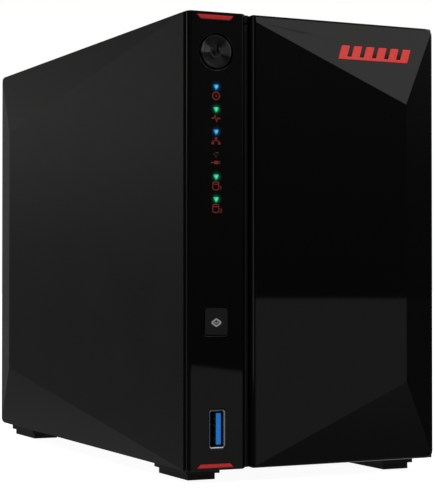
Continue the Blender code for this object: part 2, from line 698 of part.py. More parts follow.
def foot_spans():
    for end, (low_y, high_y) in FOOT_Y_SPANS.items():
        for side_name, side in (("left", -1), ("right", 1)):
            low_x, high_x = sorted((side * FOOT_BLOCK_OUT_X, side * FOOT_BLOCK_IN_X))
            yield f"foot_pad_{end}_{side_name}", side, (low_x, high_x), (low_y, high_y)


PAN_FRONT_Y, PAN_SHEET = BEZEL_REAR_Y + GAP, 2.0
CARRIER_SHEET, CARRIER_TOP = 0.9, 154.0
FLANGE_HEIGHT = 14.0


def make_pan():
    """The floor, with foot blocks below, a low flange on the right and the main board's carrier on the left."""
    half = INNER_X - SLIDE_GAP
    rear = REAR_PANEL_Y - GAP
    pan = part("bottom_pan", box((-half, PAN_FRONT_Y, BODY_LOW), (half, rear, BODY_LOW + PAN_SHEET)), "matte_black")
    blocks = []
    risers = []
    for _, side, (low_x, high_x), (low_y, high_y) in foot_spans():
        blocks.append(((low_x, low_y, FOOT_PAD_HEIGHT), (high_x, high_y, BODY_LOW - GAP)))
        low_riser, high_riser = sorted((side * (half - 0.5), side * (FOOT_BLOCK_IN_X + 0.5)))
        front = max(low_y + 1, PAN_FRONT_Y + 0.5)
        risers.append(((low_riser, front, FOOT_PAD_HEIGHT + 1), (high_riser, high_y - 1, BODY_LOW + 1)))
    uprights = boxes(
        [
            ((half - CARRIER_SHEET, PAN_FRONT_Y + 1, BODY_LOW + 0.5), (half, rear - 4, BODY_LOW + FLANGE_HEIGHT)),
            ((-half, PAN_FRONT_Y + 1, BODY_LOW + 0.5), (CARRIER_SHEET - half, rear - 4, CARRIER_TOP)),
        ]
    )
    windows = boxes(
        [
            ((-half - 5, -82 + 44 * i, 30 + 62 * j), (5 - half, -50 + 44 * i, 76 + 62 * j))
            for i in range(4)
            for j in range(2)
        ]
    )
    standoffs = solid()
    for y in (-88, 0, 92):
        for z in (22, 84, 146):
            add_cylinder(standoffs, (-half + 1.2, y, z), 2.0, 2.0, "X", 12)
    vents = boxes(
        [
            ((x, -70 + 11 * i, 0), (x + 24, -66 + 11 * i, 10))
            for x in (-17, 14)
            for i in range(11)
        ]
    )
    join(pan, tool("pan_uprights", uprights))
    cut(pan, tool("pan_windows", windows))
    join(pan, tool("pan_standoffs", standoffs))
    join(pan, tool("pan_risers", boxes(risers)))
    join(pan, tool("pan_foot_blocks", boxes(blocks)))
    cut(pan, tool("pan_vents", vents))
    return pan


def make_foot_pads():
    inset = FOOT_PAD_INSET
    for name, _, (low_x, high_x), (low_y, high_y) in foot_spans():
        pad = box((low_x + inset, low_y + inset, 0), (high_x - inset, high_y - inset, FOOT_PAD_HEIGHT - 0.05))
        part(name, round_edges(pad, 1.0, "Z", 2), "rubber")


# ---------------------------------------------------------------- drive cage, trays and drives


def make_cage():
    outer = box((CAGE_LEFT_X, CAGE_FRONT_Y, CAGE_LOW), (CAGE_RIGHT_X, CAGE_REAR_Y, CAGE_TOP))
    cage = part("drive_cage", outer, "steel")
    sheet = CAGE_SHEET
    inner = box(
        (CAGE_LEFT_X + sheet, CAGE_FRONT_Y - 1, CAGE_LOW + sheet),
        (CAGE_RIGHT_X - sheet, CAGE_REAR_Y + 1, CAGE_TOP - sheet),
    )
    divider = box(
        (BAY_MIDDLE_X - 0.4, CAGE_FRONT_Y, CAGE_LOW + 0.5), (BAY_MIDDLE_X + 0.4, CAGE_REAR_Y, CAGE_TOP - 0.5)
    )
    legs = boxes(
        [
            ((x, -80 + 100 * i, 6.9), (x + sheet, -40 + 100 * i, CAGE_LOW + 0.5))
            for x in (CAGE_LEFT_X, CAGE_RIGHT_X - sheet)
            for i in range(2)
        ]
    )
    windows = boxes(
        [
            ((CAGE_LEFT_X - 5, -72 + 32 * i, CAGE_LOW + 14 + 48 * j), (CAGE_RIGHT_X + 5, -52 + 32 * i, CAGE_LOW + 52 + 48 * j))
            for i in range(4)
            for j in range(2)
        ]
    )
    toes = boxes(
        [
            ((CAGE_LEFT_X, -80 + 100 * i, 6.9), (CAGE_LEFT_X + 8, -40 + 100 * i, 7.9))
            for i in range(2)
        ]
        + [
            ((CAGE_RIGHT_X - 8, -80 + 100 * i, 6.9), (CAGE_RIGHT_X, -40 + 100 * i, 7.9))
            for i in range(2)
        ]
    )
    cut(cage, tool("cage_inner", inner))
    join(cage, tool("cage_divider", divider))
    join(cage, tool("cage_legs", legs))
    join(cage, tool("cage_toes", toes))
    cut(cage, tool("cage_windows", windows))
    return cage


def make_tray(number, x):
    """A tray: front panel, two rails and two hinge ears, with its handle, hinge pin and latch."""
    half = TRAY_WIDTH / 2
    name = f"tray_{number}"
    panel = box((x - half, TRAY_FRONT_Y, TRAY_PANEL_LOW), (x + half, TRAY_PANEL_BACK_Y, TRAY_PANEL_TOP))
    frame = part(f"{name}_frame", round_edges(panel, 1.0, "Y", 2), "inner_black", origin=(x, TRAY_FRONT_Y, 83))
    rails = boxes(
        [
            ((x - half, TRAY_PANEL_BACK_Y - 1, TRAY_LOW), (x + half, TRAY_REAR_Y, DRIVE_LOW - GAP)),
            ((x - half, TRAY_PANEL_BACK_Y - 1, DRIVE_LOW + DRIVE_SIZE[2] + GAP), (x + half, TRAY_REAR_Y, TRAY_TOP)),
        ]
    )
    ears = boxes(
        [
            ((x + side * 10.2 - 1.5, -102.4, HANDLE_PIVOT_Z - 3), (x + side * 10.2 + 1.5, TRAY_FRONT_Y + 1, HANDLE_PIVOT_Z + 3))
            for side in (-1, 1)
        ]
    )
    vents = boxes(
        [
            ((x - 12, TRAY_FRONT_Y - 5, z), (x + 12, TRAY_PANEL_BACK_Y + 5, z + 1.8))
            for z in (15.0, 18.6, 22.2, 150.8, 154.0)
        ]
    )
    lightening = boxes(
        [
            ((x - 11, -80 + 33 * i, TRAY_LOW - 5), (x + 11, -58 + 33 * i, TRAY_TOP + 5))
            for i in range(4)
        ]
    )
    pin_hole = cylinder((x, HANDLE_PIVOT_Y, HANDLE_PIVOT_Z), 1.05, 40, "X", 16)
    finger_well = box((x - 6, TRAY_FRONT_Y - 1, 108), (x + 6, TRAY_FRONT_Y + 2.0, 134))
    latch_slot = box((x - 2.4, TRAY_FRONT_Y - 1, LATCH_Z - 2.2), (x + 2.4, TRAY_PANEL_BACK_Y + 1, LATCH_Z + 4.6))
    join(frame, tool(f"{name}_rails", rails))
    join(frame, tool(f"{name}_ears", ears))
    cut(frame, tool(f"{name}_vents", vents))
    cut(frame, tool(f"{name}_lightening", lightening))
    cut(frame, tool(f"{name}_pin_hole", pin_hole))
    cut(frame, tool(f"{name}_finger_well", finger_well))
    cut(frame, tool(f"{name}_latch_slot", latch_slot))

    handle = make_handle(name, x)
    pin = part(
        f"{name}_hinge_pin", cylinder((x, HANDLE_PIVOT_Y, HANDLE_PIVOT_Z), 1.0, 23.6, "X", 16), "steel"
    )
    latch = make_latch(name, x)
    drive = make_drive(number, x)
    hinge = joint_empty(f"{name}_handle_axis", (x, HANDLE_PIVOT_Y, HANDLE_PIVOT_Z), [handle])
    release = joint_empty(f"{name}_latch_axis", (x, TRAY_FRONT_Y, LATCH_Z), [latch])
    return joint_empty(f"{name}_slide", (x, TRAY_FRONT_Y, 83), [frame, pin, drive, hinge, release])


def make_handle(name, x):
    """A swing handle on the pin: a knuckle and a long bar with a finger opening under its free end."""
    half = HANDLE_WIDTH / 2
    knuckle = cylinder((x, HANDLE_PIVOT_Y, HANDLE_PIVOT_Z), 1.7, 17.0, "X", 16)
    handle = part(f"{name}_handle", knuckle, "inner_black", origin=(x, HANDLE_PIVOT_Y, HANDLE_PIVOT_Z))
    bar = box((x - half, -102.6, HANDLE_PIVOT_Z + 1.0), (x + half, -99.9, HANDLE_TOP_Z))
    round_edges(bar, 1.5, "Y", 2, lambda middle: middle.z > 80)
    window = box((x - 4.5, -110, 60), (x + 4.5, -90, 126))
    bore = cylinder((x, HANDLE_PIVOT_Y, HANDLE_PIVOT_Z), 1.05, 40, "X", 16)
    join(handle, tool(f"{name}_handle_bar", bar))
    cut(handle, tool(f"{name}_handle_window", round_edges(window, 1.5, "Y", 2)))
    cut(handle, tool(f"{name}_handle_bore", bore))
    return handle


def make_latch(name, x):
    """The release slider above the handle: a button, a neck through the panel and a retaining plate behind it."""
    button = box((x - 5, -102.0, LATCH_Z - 3.5), (x + 5, TRAY_FRONT_Y - 0.2, LATCH_Z + 3.5))
    latch = part(f"{name}_latch", round_edges(button, 1.0, "Y", 2), "red", origin=(x, TRAY_FRONT_Y, LATCH_Z))
    neck = box((x - 2, TRAY_FRONT_Y - 1, LATCH_Z - 1.8), (x + 2, TRAY_PANEL_BACK_Y + 1, LATCH_Z + 1.8))
    keeper = box((x - 4, TRAY_PANEL_BACK_Y + 0.2, LATCH_Z - 3.0), (x + 4, TRAY_PANEL_BACK_Y + 1.4, LATCH_Z + 3.0))
    join(latch, tool(f"{name}_latch_neck", neck))
    join(latch, tool(f"{name}_latch_keeper", keeper))
    return latch


def make_drive(number, x):
    """A 3.5 inch drive on its edge, with its board to the left and its connector at the rear."""
    thick, length, tall = DRIVE_SIZE
    low = Vector((x - thick / 2, DRIVE_FRONT_Y, DRIVE_LOW))
    rear = DRIVE_FRONT_Y + length
    body = box(low, (x + thick / 2 - 1.0, rear, DRIVE_LOW + tall))
    round_edges(body, 2.0, "X", 2)
    drive = part(f"hard_drive_{number}", body, "aluminium")
    lid = box(
        (x + thick / 2 - 2, DRIVE_FRONT_Y + 3, DRIVE_LOW + 3), (x + thick / 2, rear - 18, DRIVE_LOW + tall - 3)
    )
    round_edges(lid, 9.0, "X", 4)
    board_well = box((low.x - 1, DRIVE_FRONT_Y + 50, DRIVE_LOW + 5), (low.x + 1.4, rear - 6, DRIVE_LOW + tall - 5))
    socket_well = box(
        (low.x - 1, rear - 7, DRIVE_LOW + 8), (low.x + 7.8, rear + 1, DRIVE_LOW + 53)
    )
    tongue = box((low.x + 3.4, rear - 8, DRIVE_LOW + 11), (low.x + 4.6, rear - 1.0, DRIVE_LOW + 50))
    join(drive, tool(f"drive_{number}_lid", lid))
    cut(drive, tool(f"drive_{number}_board_well", board_well))
    cut(drive, tool(f"drive_{number}_socket_well", socket_well))
    join(drive, tool(f"drive_{number}_tongue", tongue))
    return drive


def make_backplane():
    back = BACKPLANE_Y + BOARD_THICKNESS
    sheet = box((CAGE_LEFT_X + 0.6, BACKPLANE_Y, 27.0), (CAGE_RIGHT_X - 0.6, back, 139.0))
    board = part("backplane_board", sheet, "board_green")
    tab = box((-38.6, BACKPLANE_Y, 61.5), (CAGE_LEFT_X + 2, back, 108.5))
    openings = boxes(
        [((x - 12, BACKPLANE_Y - 5, 88 + 16 * i), (x + 12, back + 5, 98 + 16 * i)) for x in TRAY_X for i in range(3)]
    )
    join(board, tool("backplane_tab", tab))
    cut(board, tool("backplane_openings", openings))
    for number, x in zip((1, 2), TRAY_X):
        left = x - DRIVE_SIZE[0] / 2
        body = box(
            (left + 0.6, DRIVE_FRONT_Y + DRIVE_SIZE[1] - 5.5, DRIVE_LOW + 9),
            (left + 7.2, BACKPLANE_Y - 0.1, DRIVE_LOW + 52),
        )
        socket = part(f"sata_socket_{number}", body, "inner_black")
        slot = box(
            (left + 3.0, DRIVE_FRONT_Y + DRIVE_SIZE[1] - 8, DRIVE_LOW + 10.4),
            (left + 5.0, DRIVE_FRONT_Y + DRIVE_SIZE[1] - 0.4, DRIVE_LOW + 50.6),
        )
        cut(socket, tool(f"sata_socket_{number}_slot", slot))


# ---------------------------------------------------------------- main board and rear connectors


def make_main_board():
    sheet = box((MAIN_BOARD_X, -94, 12), (MAIN_BOARD_FACE_X, 100, 152))
    board = part("main_board", sheet, "board_green")
    face = MAIN_BOARD_FACE_X - 0.3
    chips = boxes(
        [
            ((face, 2, 72), (MAIN_BOARD_FACE_X + 1.4, 28, 98)),  # processor
            ((face, -24, 62), (MAIN_BOARD_FACE_X + 1.1, -12, 74)),  # memory
            ((face, -24, 82), (MAIN_BOARD_FACE_X + 1.1, -12, 94)),  # memory
            ((face, 68, 40), (MAIN_BOARD_FACE_X + 1.2, 77, 49)),  # network controller
            ((face, -60, 100), (MAIN_BOARD_FACE_X + 9.0, -48, 112)),  # coil
            ((face, 70, 130), (MAIN_BOARD_FACE_X + 6.0, 78, 142)),  # fan header
            ((face, 86, RESET_Z - 4), (MAIN_BOARD_FACE_X + 5.6, 94, RESET_Z + 4)),  # reset switch body
            ((face, 59.0, 60), (-35.5, 67.0, 110)),  # slot for the backplane
        ]
    )
    slot = box((-39.2, BACKPLANE_Y - 0.3, 61), (-30, BACKPLANE_Y + BOARD_THICKNESS + 0.3, 109))
    join(board, tool("main_board_chips", chips))
    cut(board, tool("main_board_slot", slot))
    return board


def make_heat_sink():
    base_x = MAIN_BOARD_FACE_X + 1.5
    sink = part("heat_sink", box((base_x, -4, 66), (base_x + 2.2, 34, 104)), "aluminium")
    fins = boxes(
        [((base_x + 2.0, -4, 66 + 4.625 * i), (base_x + 11, 34, 67 + 4.625 * i)) for i in range(9)]
    )
    return join(sink, tool("heat_sink_fins", fins))


def make_battery():
    x = MAIN_BOARD_FACE_X + 0.1
    return part("clock_battery", cylinder((x + 1.6, -60, 40), 10.0, 3.2, "X", 28), "steel")


def make_buzzer():
    x = MAIN_BOARD_FACE_X + 0.1
    buzzer = part("buzzer", cylinder((x + 3, -20, 30), 6.0, 6.0, "X", 20), "inner_black")
    hole = cylinder((x + 6, -20, 30), 1.2, 3.0, "X", 10)
    return cut(buzzer, tool("buzzer_hole", hole))


LAN_LOW_X, LAN_HIGH_X = MAIN_BOARD_FACE_X + 0.1, -29.4


def make_network_jack():
    rear = PORT_REAR_Y
    jack = part(
        "network_jack",
        box((LAN_LOW_X, rear - 21, LAN_Z - 8), (LAN_HIGH_X, rear, LAN_Z + 8)),
        "steel",
    )
    mouth = box((LAN_LOW_X + 3.2, rear - 13, LAN_Z - 5.9), (LAN_LOW_X + 10.4, rear + 1, LAN_Z + 5.9))
    key = box((LAN_LOW_X + 10.3, rear - 13, LAN_Z - 3.1), (LAN_LOW_X + 12.2, rear + 1, LAN_Z + 3.1))
    cut(jack, tool("network_jack_mouth", mouth))
    cut(jack, tool("network_jack_key", key))
    return jack


def make_power_jack():
    rear = PORT_REAR_Y
    x = MAIN_BOARD_FACE_X + 5.6
    jack = part(
        "power_jack", box((x - 4.5, rear - 14, POWER_JACK_Z - 5), (x + 5.5, rear, POWER_JACK_Z + 5)), "inner_black"
    )
    bore = cylinder((x, rear - 4, POWER_JACK_Z), 3.1, 10, "Y", 20)
    pin = cylinder((x, rear - 5.5, POWER_JACK_Z), 1.0, 8, "Y", 12)
    cut(jack, tool("power_jack_bore", bore))
    join(jack, tool("power_jack_pin", pin))
    return jack


RESET_X = MAIN_BOARD_FACE_X + 3.0


def make_reset_button():
    tip = REAR_PANEL_Y - 1.2
    plunger = cylinder((RESET_X, tip - 2.5, RESET_Z), 1.0, 5.0, "Y", 12)
    button = part("reset_button", plunger, "inner_black", origin=(RESET_X, tip, RESET_Z))
    joint_empty("reset_button_axis", (RESET_X, tip, RESET_Z), [button])
    return button


# ---------------------------------------------------------------- rear panel and fan

HEX_PITCH, HEX_RADIUS, HEX_RINGS = 9.4, 4.7, 3


def add_hexagons(bm, centre_x, centre_z, y):
    """A honeycomb of hexagonal holes in rings around a centre."""
    for row in range(-HEX_RINGS, HEX_RINGS + 1):
        count = 2 * HEX_RINGS + 1 - abs(row)
        z = centre_z + row * HEX_PITCH * math.sqrt(3) / 2
        for i in range(count):
            x = centre_x + (i - (count - 1) / 2) * HEX_PITCH
            bmesh.ops.create_cone(
                bm,
                cap_ends=True,
                segments=6,
                radius1=HEX_RADIUS,
                radius2=HEX_RADIUS,
                depth=6,
                matrix=Matrix.Translation((x, y, z)) @ TURN_TO["Y"],
            )


def make_rear_panel():
    half = INNER_X - SLIDE_GAP
    back = REAR_PANEL_Y + REAR_PANEL_SHEET
    sheet = box((-half, REAR_PANEL_Y, 6.9), (half, back, INNER_TOP - SLIDE_GAP))
    panel = part("rear_panel", sheet, "matte_black")
    grille = solid()
    add_hexagons(grille, FAN_X, FAN_Z, REAR_PANEL_Y)
    screw_holes = solid()
    for sx in (-1, 1):
        add_cylinder(screw_holes, (sx * THUMB_SCREW_X, REAR_PANEL_Y, THUMB_SCREW_Z), 1.7, 8, "Y", 12)
        for sz in (-1, 1):
            centre = (FAN_X + sx * FAN_SCREW_OFFSET, REAR_PANEL_Y, FAN_Z + sz * FAN_SCREW_OFFSET)
            add_cylinder(screw_holes, centre, 1.9, 8, "Y", 12)
    add_cylinder(screw_holes, (RESET_X, REAR_PANEL_Y, RESET_Z), 1.2, 8, "Y", 12)
    y0, y1 = REAR_PANEL_Y - 3, back + 3
    ports = [
        ((LAN_LOW_X - 0.3, y0, LAN_Z - 8.3), (LAN_HIGH_X + 0.3, y1, LAN_Z + 8.3)),
        ((MAIN_BOARD_FACE_X + 0.8, y0, POWER_JACK_Z - 5.3), (MAIN_BOARD_FACE_X + 11.4, y1, POWER_JACK_Z + 5.3)),
        ((28, y0, 17), (35, y1, 20)),  # lock slot
    ]
    ports += [((USB_X - 3.2, y0, z - 6.9), (USB_X + 3.2, y1, z + 6.9)) for z in REAR_USB_Z]
    vents = [((-24 + 6 * i, y0, 30), (-21.4 + 6 * i, y1, 48)) for i in range(11)]
    vents += [((-24 + 6 * i, y0, 136), (-21.4 + 6 * i, y1, 150)) for i in range(11)]
    cut(panel, tool("rear_panel_grille", grille))
    cut(panel, tool("rear_panel_round_holes", screw_holes))
    cut(panel, tool("rear_panel_ports", boxes(ports)))
    cut(panel, tool("rear_panel_vents", boxes(vents)))
    return panel


FAN_HUB_R, FAN_BLADES, FAN_BLADE_R = 14.0, 7, 31.8
FAN_MOUNT_DEPTH = 3.0


def make_fan_frame():
    front = FAN_REAR_Y - FAN_DEPTH
    half = FAN_SIZE / 2
    block = box((FAN_X - half, front, FAN_Z - half), (FAN_X + half, FAN_REAR_Y, FAN_Z + half))
    frame = part("fan_frame", round_edges(block, 3.0, "Y", 2), "inner_black")
    bore = cylinder((FAN_X, FAN_REAR_Y - FAN_DEPTH / 2, FAN_Z), FAN_BORE_R, FAN_DEPTH + 4, "Y", 48)
    mount_middle = FAN_REAR_Y - FAN_MOUNT_DEPTH / 2
    mount = cylinder((FAN_X, mount_middle, FAN_Z), FAN_HUB_R - 1, FAN_MOUNT_DEPTH, "Y", 28)
    struts = solid()
    for i in range(4):
        arm = add_box(struts, (FAN_HUB_R - 4, -1.4, -1.1), (FAN_BORE_R + 1.2, 1.4, 1.1))
        turn = Matrix.Rotation(math.radians(45 + 90 * i), 4, "Y")
        place = Matrix.Translation((FAN_X, mount_middle, FAN_Z)) @ turn
        bmesh.ops.transform(struts, matrix=place, verts=arm)
    holes = solid()
    for sx in (-1, 1):
        for sz in (-1, 1):
            centre = (FAN_X + sx * FAN_SCREW_OFFSET, FAN_REAR_Y, FAN_Z + sz * FAN_SCREW_OFFSET)
            add_cylinder(holes, centre, 1.75, 2.2 * FAN_DEPTH, "Y", 12)
    cut(frame, tool("fan_frame_bore", bore))
    join(frame, tool("fan_frame_mount", mount))
    join(frame, tool("fan_frame_struts", struts))
    cut(frame, tool("fan_frame_holes", holes))
    return frame


def make_fan_rotor():
    """A hub and swept blades. Each blade is a strip whose pitch eases from root to tip."""
    back = FAN_REAR_Y - FAN_MOUNT_DEPTH - 0.6
    front = FAN_REAR_Y - FAN_DEPTH + 1.0
    axis_point = (FAN_X, (front + back) / 2, FAN_Z)
    hub = cylinder(axis_point, FAN_HUB_R, back - front, "Y", 32)
    rotor = part("fan_rotor", hub, "inner_black", origin=axis_point)
    blades = solid()
    steps = 4
    for blade in range(FAN_BLADES):
        base = 2 * math.pi * blade / FAN_BLADES
        rows = []
        for i in range(steps + 1):
            share = i / steps
            radius = FAN_HUB_R - 1.5 + (FAN_BLADE_R - FAN_HUB_R + 1.5) * share
            half_chord = 0.36 - 0.06 * share
            sweep = base + 0.25 * share
            row = []
            for end, y in ((-1, front + 1.2), (1, back - 1.2 - 3 * share)):
                angle = sweep + end * half_chord
                row.append(Vector((radius * math.cos(angle), y - axis_point[1], radius * math.sin(angle))))
            rows.append(row)
        add_blade(blades, rows, 0.6)
    bmesh.ops.translate(blades, verts=blades.verts, vec=axis_point)
    join(rotor, tool("fan_rotor_blades", blades))
    joint_empty("fan_axis", axis_point, [rotor])
    return rotor


def add_blade(bm, rows, half_thickness):
    """A thin curved blade lofted along rows of two points, thickened across its surface."""
    made = []
    for index, (a, b) in enumerate(rows):
        other = rows[min(index + 1, len(rows) - 1)] if index + 1 < len(rows) else rows[index - 1]
        outward = (other[0] - a) if index + 1 < len(rows) else (a - other[0])
        normal = outward.cross(b - a).normalized() * half_thickness
        made.append([bm.verts.new(p) for p in (a + normal, b + normal, b - normal, a - normal)])
    for low, high in zip(made, made[1:]):
        for i in range(4):
            bm.faces.new((low[i], low[(i + 1) % 4], high[(i + 1) % 4], high[i]))
    bm.faces.new(made[0])
    bm.faces.new(made[-1][::-1])


def make_fan_screw(name, x, z):
    head = cylinder((x, REAR_PANEL_Y + REAR_PANEL_SHEET + 0.85, z), 2.9, 1.5, "Y", 16, 2.0)
    screw = part(name, head, "steel", origin=(x, REAR_PANEL_Y, z))
    shank = cylinder((x, REAR_PANEL_Y - 4.3, z), 1.6, 12.0, "Y", 12)
    return join(screw, tool(f"{name}_shank", shank))


def make_fan_cable():
    """The fan's lead: a sleeved cable from the fan's corner to the header on the main board."""
    start = Vector((FAN_X - FAN_SIZE / 2 - GAP, FAN_REAR_Y - 10, FAN_Z + 26))
    header = Vector((MAIN_BOARD_FACE_X + 6.0 + GAP, 74.0, 136.0))
    points = [
        start,
        start + Vector((-2.4, -0.5, 0.6)),
        start + Vector((-4.2, -3.0, 3.0)),
        start + Vector((-4.6, -9.0, 9.0)),
        header + Vector((5.4, 4.0, -4.0)),
        header + Vector((3.0, 0.8, -0.6)),
        header,
    ]
    curve = bpy.data.curves.new("fan_cable", "CURVE")
    curve.dimensions = "3D"
    curve.bevel_depth = 1.1 * MM
    curve.bevel_resolution = 2
    curve.use_fill_caps = True
    spline = curve.splines.new("POLY")
    spline.points.add(len(points) - 1)
    for point, place in zip(spline.points, points):
        point.co = (*(place * MM), 1)
    cable = bpy.data.objects.new("fan_cable", curve)
    PARTS.objects.link(cable)
    curve.materials.append(MATERIALS["inner_black"])
    return cable


# ---------------------------------------------------------------- assembly

clear_scene()
PARTS = new_collection("nas_enclosure")
TOOLS = new_collection("cutters_and_joiners")
TOOLS.hide_render = True
MATERIALS = make_materials()

cover_pieces = [make_cover()]
for screw_name, screw_side in (("thumb_screw_left", -1), ("thumb_screw_right", 1)):
    cover_pieces.append(make_thumb_screw(screw_name, screw_side * THUMB_SCREW_X))
joint_empty("cover_slide", (0, REAR_Y, HEIGHT / 2), cover_pieces)

make_bezel()
make_control_panel()
make_accent_strips()
make_power_button()
make_copy_button()
make_light_pipe()
make_switch("power_switch", POWER_BUTTON_Z)
make_switch("copy_switch", COPY_BUTTON_Z)
make_front_board()
make_usb_socket("front_usb", FRONT_USB_Z, FRONT_Y + 0.5, 1)
door_pieces = [make_door(), make_emblem(), *make_magnets()]
joint_empty("door_pull", (0, DOOR_BACK_Y, HEIGHT / 2), door_pieces)

make_pan()
make_foot_pads()

make_cage()
for tray_number, tray_x in zip((1, 2), TRAY_X):
    make_tray(tray_number, tray_x)
make_backplane()

make_main_board()
make_heat_sink()
make_battery()
make_buzzer()
for usb_name, usb_z in zip(("rear_usb_upper", "rear_usb_lower"), REAR_USB_Z):
    make_usb_socket(usb_name, usb_z, PORT_REAR_Y, -1)
make_network_jack()
make_power_jack()
make_reset_button()

make_rear_panel()
make_fan_frame()
make_fan_rotor()
for row, row_z in (("upper", 1), ("lower", -1)):
    for column, column_x in (("left", -1), ("right", 1)):
        make_fan_screw(
            f"fan_screw_{row}_{column}", FAN_X + column_x * FAN_SCREW_OFFSET, FAN_Z + row_z * FAN_SCREW_OFFSET
        )
make_fan_cable()

for piece in PARTS.objects:
    if piece.type == "MESH":
        piece.data.shade_smooth()
        faceted = piece.name in ("outer_cover", "front_door")
        piece.data.set_sharp_from_angle(angle=CREASE_ANGLE if faceted else SMOOTH_ANGLE)
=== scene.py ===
"""The finished look of the network storage enclosure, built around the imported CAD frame.

Everything is in metres in the CAD's frame: +Z up, -Y out of the front, +X to the right seen from the front.
New meshes are drawn in millimetres of that frame, and piece() turns them into metres.
"""

import math

import bmesh
import bpy
from mathutils import Matrix, Vector


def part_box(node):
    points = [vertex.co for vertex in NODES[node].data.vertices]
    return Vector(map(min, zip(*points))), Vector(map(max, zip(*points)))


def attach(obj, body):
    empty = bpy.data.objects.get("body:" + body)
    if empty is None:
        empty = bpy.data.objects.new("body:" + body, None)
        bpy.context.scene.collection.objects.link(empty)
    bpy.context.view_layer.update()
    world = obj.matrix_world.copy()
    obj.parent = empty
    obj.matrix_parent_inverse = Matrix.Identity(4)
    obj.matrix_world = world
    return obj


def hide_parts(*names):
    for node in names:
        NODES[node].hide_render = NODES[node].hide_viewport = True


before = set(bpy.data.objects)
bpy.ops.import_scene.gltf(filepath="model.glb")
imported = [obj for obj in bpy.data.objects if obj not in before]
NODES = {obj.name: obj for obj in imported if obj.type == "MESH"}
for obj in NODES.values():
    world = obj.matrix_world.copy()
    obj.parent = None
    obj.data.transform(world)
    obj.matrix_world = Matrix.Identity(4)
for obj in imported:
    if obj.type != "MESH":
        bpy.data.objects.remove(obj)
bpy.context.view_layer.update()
MM = 0.001


# ---------- node trees


class Shader:
    """Builds a node tree. Inputs may be numbers, colours or the output sockets of other nodes."""

    def __init__(self, tree):
        self.tree = tree
        tree.nodes.clear()

    def node(self, kind, inputs=None, **settings):
        made = self.tree.nodes.new(kind)
        for key, value in settings.items():
            setattr(made, key, value)
        for key, value in (inputs or {}).items():
            self.put(made.inputs[key], value)
        return made

    def put(self, socket, value):
        if isinstance(value, bpy.types.NodeSocket):
            self.tree.links.new(value, socket)
        elif socket.type == "RGBA" and len(value) == 3:
            socket.default_value = (*value, 1.0)
        else:
            socket.default_value = value

    def math(self, operation, a, b=0.0, c=0.0, clamp=False):
        inputs = {0: a, 1: b, 2: c}
        return self.node("ShaderNodeMath", inputs, operation=operation, use_clamp=clamp).outputs[0]

    def vector(self, operation, a, b=(0, 0, 0)):
        made = self.node("ShaderNodeVectorMath", {0: a, 1: b}, operation=operation)
        return made.outputs["Value" if operation in ("LENGTH", "DISTANCE", "DOT_PRODUCT") else "Vector"]

    def scaled(self, vector, by):
        return self.node("ShaderNodeVectorMath", {0: vector, "Scale": by}, operation="SCALE").outputs[0]

    def axes(self, vector=None):
        """The three coordinates of vector, or of the place on the piece."""
        return self.node("ShaderNodeSeparateXYZ", {0: vector or self.place()}).outputs

    def step(self, value, low, high, from_value=0.0, to_value=1.0):
        """A smooth step from from_value at low to to_value at high."""
        inputs = {"Value": value, "From Min": low, "From Max": high, "To Min": from_value, "To Max": to_value}
        return self.node("ShaderNodeMapRange", inputs, interpolation_type="SMOOTHSTEP").outputs["Result"]

    def band(self, value, low, high, soft):
        """1 where value is between low and high, fading to 0 over soft on each side."""
        rising = self.step(value, low - soft, low + soft)
        falling = self.step(value, high - soft, high + soft, 1.0, 0.0)
        return self.math("MULTIPLY", rising, falling)

    def place(self):
        return self.node("ShaderNodeTexCoord").outputs["Object"]

    def position(self):
        return self.node("ShaderNodeNewGeometry").outputs["Position"]

    def noise(self, scale, detail=3.0, roughness=0.5, stretch=None):
        vector = self.place()
        if stretch:
            vector = self.node("ShaderNodeMapping", {"Vector": vector, "Scale": stretch}).outputs[0]
        inputs = {"Vector": vector, "Scale": scale, "Detail": detail, "Roughness": roughness}
        return self.node("ShaderNodeTexNoise", inputs).outputs["Fac"]

    def mix(self, share, a, b, blend="MIX"):
        made = self.node("ShaderNodeMix", data_type="RGBA", blend_type=blend)
        self.put(made.inputs["Factor"], share)
        self.put(made.inputs[6], a)
        self.put(made.inputs[7], b)
        return made.outputs[2]

    def bump(self, height, distance, strength=1.0):
        inputs = {"Height": height, "Distance": distance, "Strength": strength}
        return self.node("ShaderNodeBump", inputs).outputs["Normal"]

    def finish(self, **inputs):
        """Ends the tree in a Principled BSDF with these inputs, whose names have _ for spaces."""
        named = {key.replace("_", " "): value for key, value in inputs.items()}
        shader = self.node("ShaderNodeBsdfPrincipled", named)
        self.node("ShaderNodeOutputMaterial", {0: shader.outputs[0]})


def new_material(name):
    material = bpy.data.materials.new(name)
    material.use_nodes = True
    return material, Shader(material.node_tree)


def darker(colour, share):
    return tuple(c * share for c in colour)


# ---------- kinds of material


def moulded_plastic(name, colour, roughness, grain, depth):
    """Moulded plastic: a fine spark-eroded grain, a slow mottle in colour and gloss, and faint rub marks.

    grain is the texture's size and depth its height, in millimetres."""
    material, s = new_material(name)
    slow = s.noise(38.0, 2.0)
    fine = s.noise(1000.0 / grain, 2.0, 0.6)
    rubs = s.noise(160.0, 4.0, 0.7, stretch=(1.0, 0.25, 3.0))
    shade = s.math("MULTIPLY_ADD", slow, 0.24, 0.88)
    grey = s.node("ShaderNodeCombineColor", {0: shade, 1: shade, 2: shade}).outputs[0]
    gloss = s.math("MULTIPLY_ADD", rubs, 0.10, roughness - 0.05)
    s.finish(
        Base_Color=s.mix(1.0, colour, grey, "MULTIPLY"),
        Roughness=s.math("MULTIPLY_ADD", slow, 0.06, gloss),
        Normal=s.bump(fine, depth * MM, 0.8),
    )
    return material


PAINTED_GLOW_REACH = 1.05 * MM  # how far the painted glow spreads around a light's window
